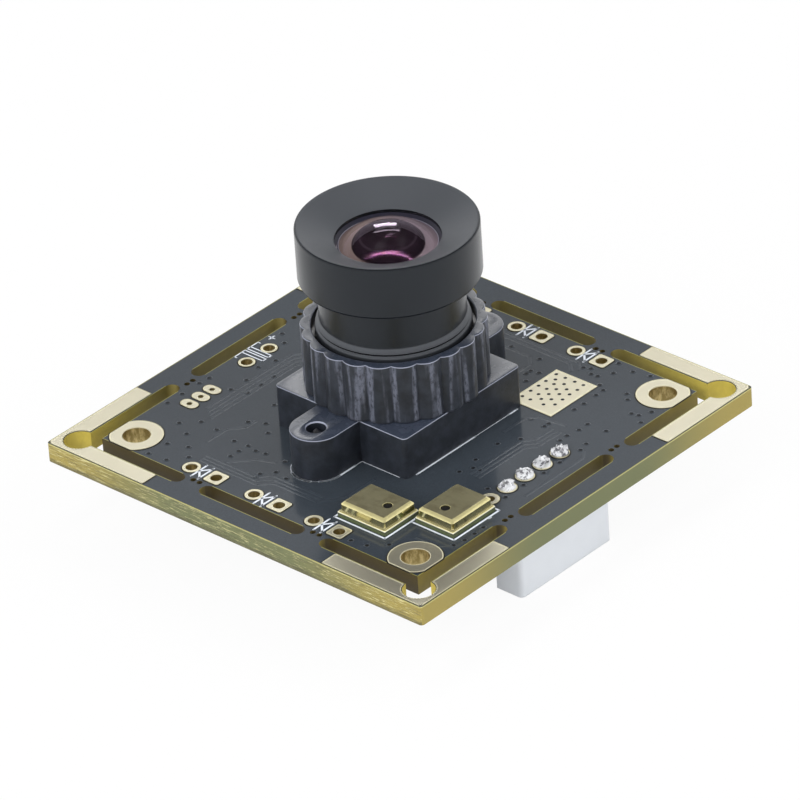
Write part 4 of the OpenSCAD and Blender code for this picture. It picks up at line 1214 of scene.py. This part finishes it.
def barrel_profile(sizes):
    """Radius and height of the barrel, from its rear end round the outside and down the inside."""
    thread, neck, hood = mm(sizes.thread), mm(sizes.neck), mm(sizes.hood)
    window, edge = mm(sizes.window), mm(sizes.hood_edge)
    top = LENS_BASE + THREAD_LENGTH
    back = top + NECK_LENGTH
    window_top = LENS_FRONT - FUNNEL_DEPTH
    return [
        (BARREL_BORE, LENS_BASE),
        (thread - 0.4, LENS_BASE),
        (thread, LENS_BASE + 0.4),
        (thread, top - 0.22),
        (thread - 0.05, top - 0.08),
        (thread - 0.16, top + 0.02),
        *arc(neck + NECK_FILLET, top + NECK_FILLET + 0.06, NECK_FILLET, 232, 180, 10),
        (neck, back - 0.42),
        (neck - 0.30, back - 0.34),
        (neck - 0.30, back - 0.02),
        (neck - 0.28, back),
        (hood - 0.22, back),
        (hood - 0.07, back + 0.05),
        (hood, back + 0.2),
        *arc(hood - edge, LENS_FRONT - edge, edge, 0, 90, 9),
        (hood - edge - 0.10, LENS_FRONT - 0.02),
        (hood - edge - 0.24, LENS_FRONT - 0.10),
        (window + 0.12, window_top + 0.045),
        (window + 0.05, window_top),
        (window, window_top - 0.06),
        (window, SHOULDER),
    ]


class AddLensBarrel(bpy.types.Operator):
    """Adds the turned lens barrel with its hood and funnel, and blackens the rings inside"""

    bl_idname = "camera_module.add_lens_barrel"
    bl_label = "Lens barrel"

    def execute(self, context):
        shell = lathe(barrel_profile(context.scene.lens_sizes), 192)
        add_piece("turned_barrel", shell, barrel_finish(), 25.0, ["lens_barrel"])
        dress(black_ring_finish(), "retaining_ring", "front_spacer", "aperture_plate", "rear_spacer")
        return {"FINISHED"}


def cap(base, r, rise, count):
    """Profile of a spherical cap from its rim to the axis."""
    ball = (r * r + rise * rise) / (2 * rise)
    radii = [r * math.cos(math.pi / 2 * i / count) for i in range(count + 1)]
    return [(reach, base + math.sqrt(ball * ball - reach**2) - (ball - rise)) for reach in radii]


class AddLensGlass(bpy.types.Operator):
    """Adds the coated front lens and finishes the glass and the sensor behind it"""

    bl_idname = "camera_module.add_lens_glass"
    bl_label = "Lens glass"

    def execute(self, context):
        sizes = context.scene.lens_sizes
        glass_r = extent("front_lens")[1][0]
        back = extent("front_spacer")[1][2] + 0.002
        dome, hollow, depth = mm(sizes.dome), mm(sizes.hollow), mm(sizes.hollow_depth)
        inside = cap(back, hollow, depth, 28)[::-1]
        rim = [(glass_r, back), (glass_r, SHOULDER), (dome + 0.02, SHOULDER)]
        front = lathe(inside + rim + cap(SHOULDER, dome, mm(sizes.rise), 28))
        add_piece("front_element", front, front_glass_finish(), 30.0, ["front_lens"])
        skin, ball = 0.012, mm(sizes.ball)
        bowl = [(r, z) for r, z in cap(back + skin, hollow + skin, depth, 40) if r > ball + 0.05]
        bump = cap(bowl[-1][1], ball, mm(sizes.ball_rise), 20)
        # An opaque sheet behind the front lens: the mauve shoulder, and over the hollow a dark bowl of
        # painted shade
        coat = lathe((bowl + bump)[::-1] + [(glass_r - skin, back + skin)], outward=False)
        add_piece("front_element_coating", coat, lens_back_shade_finish(hollow), 20.0)
        low, crest, reach = SHOULDER + 0.01, SHOULDER + 0.035, dome + 0.05
        seat = lathe([(reach, low), (mm(sizes.window) - 0.004, SHOULDER + 0.22)], outward=False)
        seat_finish = moulded_finish("polished_seat", (0.016, 0.015, 0.026), 0.4)
        add_piece("front_element_seat", seat, seat_finish)
        # A lighter ring at the edge of the dome, as a painted highlight
        edge = lathe([(dome - 0.02, low), (dome + 0.015, crest), (reach, low)], outward=False)
        edge_highlight_finish = moulded_finish("polished_edge", (0.16, 0.15, 0.19), 0.3)
        add_piece("front_element_edge", edge, edge_highlight_finish)
        dress(lens_glass("second_glass", (0.95, 0.93, 0.96)), "second_lens")
        dress(lens_glass("rear_glass", (0.95, 0.96, 0.96)), "third_lens", "rear_lens")
        dress(lens_glass("filter_glass", (0.75, 0.90, 0.95)), "colour_filter")
        dress(lens_glass("cover_glass", (0.95, 0.97, 0.97)), "sensor_cover_glass")
        dress(moulded_finish("sensor_ceramic", (0.05, 0.05, 0.052)), "sensor_package")
        dress(moulded_finish("sensor_silicon", (0.10, 0.13, 0.12), 0.2), "sensor_chip")
        return {"FINISHED"}


# Microphones

PORT_OFF, PORT_R = 1.03, 0.37


class AddMicrophones(bpy.types.Operator):
    """Adds the drawn cans of the two microphones and finishes their bases"""

    bl_idname = "camera_module.add_microphones"
    bl_label = "Microphones"

    def execute(self, context):
        material = can_finish()
        for name, turn in (("left", -90.0), ("right", 180.0)):
            low, high = extent(f"{name}_mic_can")
            x, y = (low[0] + high[0]) / 2, (low[1] + high[1]) / 2
            width, span = sorted((high[0] - low[0], high[1] - low[1]))
            base, roof = low[2], high[2]
            shell = Shell()
            foot, top = shell.stack([
                rounded_loop(x, y, span - 2 * inset, width - 2 * inset, r, z, turn, 7)
                for inset, r, z in (
                    (0.0, 0.10, base),
                    (0.0, 0.10, base + 0.10),
                    (0.03, 0.10, base + 0.13),
                    (0.09, 0.14, base + 0.14),
                    (0.10, 0.16, base + 0.20),
                    (0.09, 0.22, roof - 0.24),
                    (0.11, 0.22, roof - 0.20),
                    (0.30, 0.16, roof - 0.03),
                    (0.35, 0.14, roof),
                )
            ])
            a = math.radians(turn)
            px, py = x + PORT_OFF * math.cos(a), y + PORT_OFF * math.sin(a)
            _, mouth = shell.stack([
                circle(px, py, PORT_R, roof - 0.12)[::-1],
                circle(px, py, PORT_R, roof - 0.02)[::-1],
                circle(px, py, PORT_R + 0.03, roof)[::-1],
            ])
            shell.sheet(top, [mouth])
            shell.sheet(foot, down=True)
            add_piece(f"{name}_mic_drawn_can", shell, material, 26.0, [f"{name}_mic_can"])
            # Painted shade: a dark disc down in the opening
            well = Shell()
            well.face(circle(px, py, PORT_R, roof - 0.11))
            add_piece(f"{name}_mic_port", well, hole_shade_finish())
        dress(mic_base_finish(), "left_mic_base", "right_mic_base")
        chip = moulded_finish("mic_silicon", (0.10, 0.11, 0.13), 0.2)
        dress(chip, "left_mic_chips", "right_mic_chips")
        return {"FINISHED"}


# Solder, socket and underside

# Radius and height of each ring of a joint
SOLDER_RINGS = ((0.66, 0.0), (0.70, 0.10), (0.60, 0.24), (0.47, 0.38), (0.30, 0.54), (0.12, 0.66))


class AddSolderJoints(bpy.types.Operator):
    """Adds the crumpled solder on the four socket contacts"""

    bl_idname = "camera_module.add_solder_joints"
    bl_label = "Solder joints"

    def execute(self, context):
        low, high = extent("solder_joints")
        middle, y = (low[0] + high[0]) / 2, (low[1] + high[1]) / 2
        shell = Shell()
        for k in range(PIN_COUNT):
            x = middle + PIN_PITCH * (k - (PIN_COUNT - 1) / 2)
            rings = []
            for r, lift in SOLDER_RINGS:
                points = []
                for px, py, pz in circle(x, y, r, PAD_TOP + lift, 11, k * 0.7 + lift * 2.0):
                    push = noise.noise(Vector((px * 1.7 + k * 7.1, py * 1.7, pz * 2.6)))
                    crease = noise.noise(Vector((px * 3.9, py * 3.9 + k * 3.3, pz * 4.0)))
                    grow = 1.0 + (0.50 * push + 0.34 * crease) * min(1.0, lift / 0.2)
                    height = min(pz + 0.34 * crease * min(1.0, lift / 0.3), high[2])
                    points.append((x + (px - x) * grow, y + (py - y) * grow, height))
                rings.append(points)
            foot, tip = shell.stack(rings)
            shell.faces += [tuple(tip), tuple(reversed(foot))]
        add_piece("solder_blobs", shell, solder_finish(), 12.0, ["solder_joints"])
        return {"FINISHED"}


class FinishSocket(bpy.types.Operator):
    """Gives the plug socket its white plastic and its contacts their tin"""

    bl_idname = "camera_module.finish_socket"
    bl_label = "Plug socket"

    def execute(self, context):
        dress(housing_finish(), "socket_housing")
        dress(metal_finish("tinned_contact", tone("tin")), "socket_contacts")
        return {"FINISHED"}


class FinishUnderside(bpy.types.Operator):
    """Finishes the chips, leads and chip resistors under the board"""

    bl_idname = "camera_module.finish_underside"
    bl_label = "Underside parts"

    def execute(self, context):
        leads = ["processor_leads", "memory_leads", "regulator_leads"]
        dress(metal_finish("tinned_lead", tone("tin")), *leads, "chip_ends", "crystal_lid")
        chips = ["processor", "memory_chip", "regulators", "resistors"]
        dress(moulded_finish("chip_resin", tone("chip")), *chips)
        dress(moulded_finish("capacitor_ceramic", tone("ceramic")), "capacitors")
        dress(moulded_finish("crystal_ceramic", (0.30, 0.24, 0.16)), "crystal_base")
        return {"FINISHED"}


# Stage

# Lengths in millimetres; the camera was fitted to points of the board in the photograph
CAMERA_AT = (-361.931, -346.792, 312.293)
CAMERA_RIGHT = (0.66456154, -0.74502472, -0.05741187)
CAMERA_UP = (0.42509818, 0.31376102, 0.84902624)
CAMERA_BACK = (-0.61453193, -0.58863587, 0.52522216)
CAMERA_LENS, CAMERA_SENSOR = 350.144, 36.0
PAPER, WHITE, PINK = (0.80, 0.80, 0.80), (1.0, 1.0, 1.0), (1.0, 0.42, 0.72)
STRIP_COUNT, STRIP_HEIGHT, STRIP_HALF_WIDE, STRIP_HALF_LONG = 22, 950.0, 7.0, 28.0
STRIP_MIDDLE, STRIP_RUN, STRIP_BOW = (35.0, 35.0), (346.0, -422.0), (-62.0, -46.0)
CARD_ACROSS, CARD_AWAY, CARD_FOOT, CARD_TOP = 95.0, 640.0, 330.0, 520.0


class StageFinish(Wiring):
    """A material of the stage, whose glow isn't sampled as a lamp."""

    def __init__(self, name):
        self.material = bpy.data.materials.new(name)
        super().__init__(self.material)
        self.material.cycles.emission_sampling = "NONE"

    def glow(self, rgb, strength):
        """A shader that gives light."""
        return self.node("ShaderNodeEmission", {}, {"Color": rgb, "Strength": strength})["Emission"]


def backdrop_material(name, glow):
    """White paper: it keeps a shadow, and camera and mirrors see it white."""
    finish = StageFinish(name)
    seen = finish.node("ShaderNodeLightPath")
    paper = finish.node("ShaderNodeBsdfDiffuse", {}, {"Color": PAPER})["BSDF"]
    share = (seen["Is Camera Ray"] * glow + seen["Is Glossy Ray"] + seen["Is Transmission Ray"]).clipped()
    front = finish.either(share, paper, finish.glow(WHITE, 1.0))
    clear = finish.node("ShaderNodeBsdfTransparent")["BSDF"]
    finish.show(finish.either(finish.node("ShaderNodeNewGeometry")["Backfacing"], front, clear))
    return finish.material


def card_material(name, rgb, strength):
    """A lit card over or behind the part, which only perfectly smooth surfaces such as the lens show."""
    finish = StageFinish(name)
    finish.show(finish.glow(rgb, finish.node("ShaderNodeLightPath")["Is Singular Ray"] * strength))
    return finish.material


def add_stage_object(name, shell, material):
    """Adds an object that isn't part of the product."""
    new_object(name, shell, material)


def add_paper():
    """Adds the round floor and the backdrop that stands on its edge."""
    sizes = bpy.context.scene.stage_sizes
    edge = circle(0.0, 0.0, mm(sizes.floor_radius), GROUND, 96)
    floor, wall = Shell(), Shell()
    floor.face(edge)
    foot = wall.loop(edge)
    top = wall.loop([(x, y, mm(sizes.wall_height)) for x, y, _ in edge])
    wall.skin(top, foot)
    add_stage_object("floor", floor, backdrop_material("floor_paper", 0.94))
    add_stage_object("backdrop", wall, backdrop_material("wall_paper", 1.0))


def add_cards():
    """Adds the curved row of small lights over the part and the white card behind it."""
    strip = Shell()
    wide, long = STRIP_HALF_WIDE, STRIP_HALF_LONG
    for k in range(STRIP_COUNT):
        t = 2 * k / (STRIP_COUNT - 1) - 1
        x, y = (at + run * t + bow * t * t for at, run, bow in zip(STRIP_MIDDLE, STRIP_RUN, STRIP_BOW))
        strip.face([
            (x + a * wide + b * long, y - a * wide + b * long, STRIP_HEIGHT)
            for a, b in ((-1, -1), (-1, 1), (1, 1), (1, -1))
        ])
    add_stage_object("strip_lights", strip, card_material("strip_lights", PINK, 130.0))
    card = Shell()
    card.face([
        (CARD_AWAY + side * CARD_ACROSS, CARD_AWAY - side * CARD_ACROSS, z)
        for side, z in ((-1, CARD_FOOT), (1, CARD_FOOT), (1, CARD_TOP), (-1, CARD_TOP))
    ])
    add_stage_object("back_card", card, card_material("back_card", WHITE, 20.0))


def add_lamp(name, place, size, power, turn=0.0, mirrored=False):
    """A rectangular soft lamp that faces the part, turned about its axis by degrees."""
    data = bpy.data.lights.new(name, "AREA")
    data.shape = "RECTANGLE"
    data.size, data.size_y = size
    data.energy = power
    lamp = bpy.data.objects.new(name, data)
    lamp.location = place
    lamp.rotation_mode = "QUATERNION"
    spin = Matrix.Rotation(math.radians(turn), 3, "Z").to_quaternion()
    lamp.rotation_quaternion = Vector(place).to_track_quat("Z", "Y") @ spin
    lamp.visible_glossy = mirrored
    bpy.context.scene.collection.objects.link(lamp)


def add_room():
    """Gives the world an even light that the camera sees as white."""
    world = bpy.data.worlds.new("studio")
    bpy.context.scene.world = world
    room = Wiring(world, "ShaderNodeOutputWorld")
    even = bpy.context.scene.stage_sizes.room_light
    level = room.node("ShaderNodeLightPath")["Is Camera Ray"] * (1.0 - even) + even
    room.show(room.node("ShaderNodeBackground", {}, {"Color": WHITE, "Strength": level})["Background"])


def add_camera():
    """Adds the camera at the photograph's viewing angle."""
    data = bpy.data.cameras.new("camera")
    data.sensor_fit = "HORIZONTAL"
    data.sensor_width, data.lens = CAMERA_SENSOR, CAMERA_LENS
    data.clip_start, data.clip_end = 0.05, 10.0
    camera = bpy.data.objects.new("camera", data)
    turn = Matrix((CAMERA_RIGHT, CAMERA_UP, CAMERA_BACK)).transposed().to_4x4()
    camera.matrix_world = Matrix.Translation(Vector(CAMERA_AT) * MM) @ turn
    bpy.context.scene.collection.objects.link(camera)
    bpy.context.scene.camera = camera


class AddStage(bpy.types.Operator):
    """Adds the paper, the lamps, the cards that the lens mirrors, the room's light and the camera"""

    bl_idname = "camera_module.add_stage"
    bl_label = "Stage"

    def execute(self, context):
        add_paper()
        # Places and sizes of the lamps are in metres, their powers in watts.
        add_lamp("left_softbox", (-1.00, 0.00, 0.75), (0.9, 0.9), 12.5)
        add_lamp("right_softbox", (0.50, -0.90, 0.65), (0.9, 0.9), 7.5)
        add_lamp("top_softbox", (0.02, 0.02, 1.15), (1.3, 0.4), 6.0, 45.0)
        add_lamp("back_softbox", (0.63, 0.63, 0.80), (0.5, 0.07), 0.85, mirrored=True)
        add_cards()
        add_room()
        add_camera()
        context.scene.view_settings.view_transform = "Standard"
        return {"FINISHED"}


# Panel and registration

GROUPS = (
    ("board_mark_sizes", BoardMarkSizes),
    ("holder_sizes", HolderSizes),
    ("lens_sizes", LensSizes),
    ("part_colours", PartColours),
    ("stage_sizes", StageSizes),
)
STEPS = (
    FinishBoard,
    AddMaskWindows,
    AddSilkMarks,
    AddVias,
    AddTracks,
    AddLensHolder,
    AddLensBarrel,
    AddLensGlass,
    AddMicrophones,
    AddSolderJoints,
    FinishSocket,
    FinishUnderside,
    AddStage,
)


class CameraModulePanel(bpy.types.Panel):
    """Lists the sizes, the colours and the steps of the camera module"""

    bl_idname = "VIEW3D_PT_camera_module"
    bl_label = "Camera module"
    bl_space_type = "VIEW_3D"
    bl_region_type = "UI"
    bl_category = "Camera module"

    def draw(self, context):
        for name, group in GROUPS:
            box = self.layout.box()
            box.label(text=name.replace("_", " "))
            for key in group.__annotations__:
                box.prop(getattr(context.scene, name), key)
        for step in STEPS:
            self.layout.operator(step.bl_idname)


def register():
    """Registers the groups of sizes and colours, the operators and the panel."""
    for name, group in GROUPS:
        bpy.utils.register_class(group)
        setattr(bpy.types.Scene, name, bpy.props.PointerProperty(type=group))
    for step in (*STEPS, CameraModulePanel):
        bpy.utils.register_class(step)


def unregister():
    """Takes away what register() added."""
    for step in reversed((*STEPS, CameraModulePanel)):
        bpy.utils.unregister_class(step)
    for name, group in reversed(GROUPS):
        delattr(bpy.types.Scene, name)
        bpy.utils.unregister_class(group)


def main():
    """Builds the whole scene."""
    register()
    for step in STEPS:
        group, name = step.bl_idname.split(".")
        getattr(getattr(bpy.ops, group), name)()


if __name__ == "__main__":
    main()
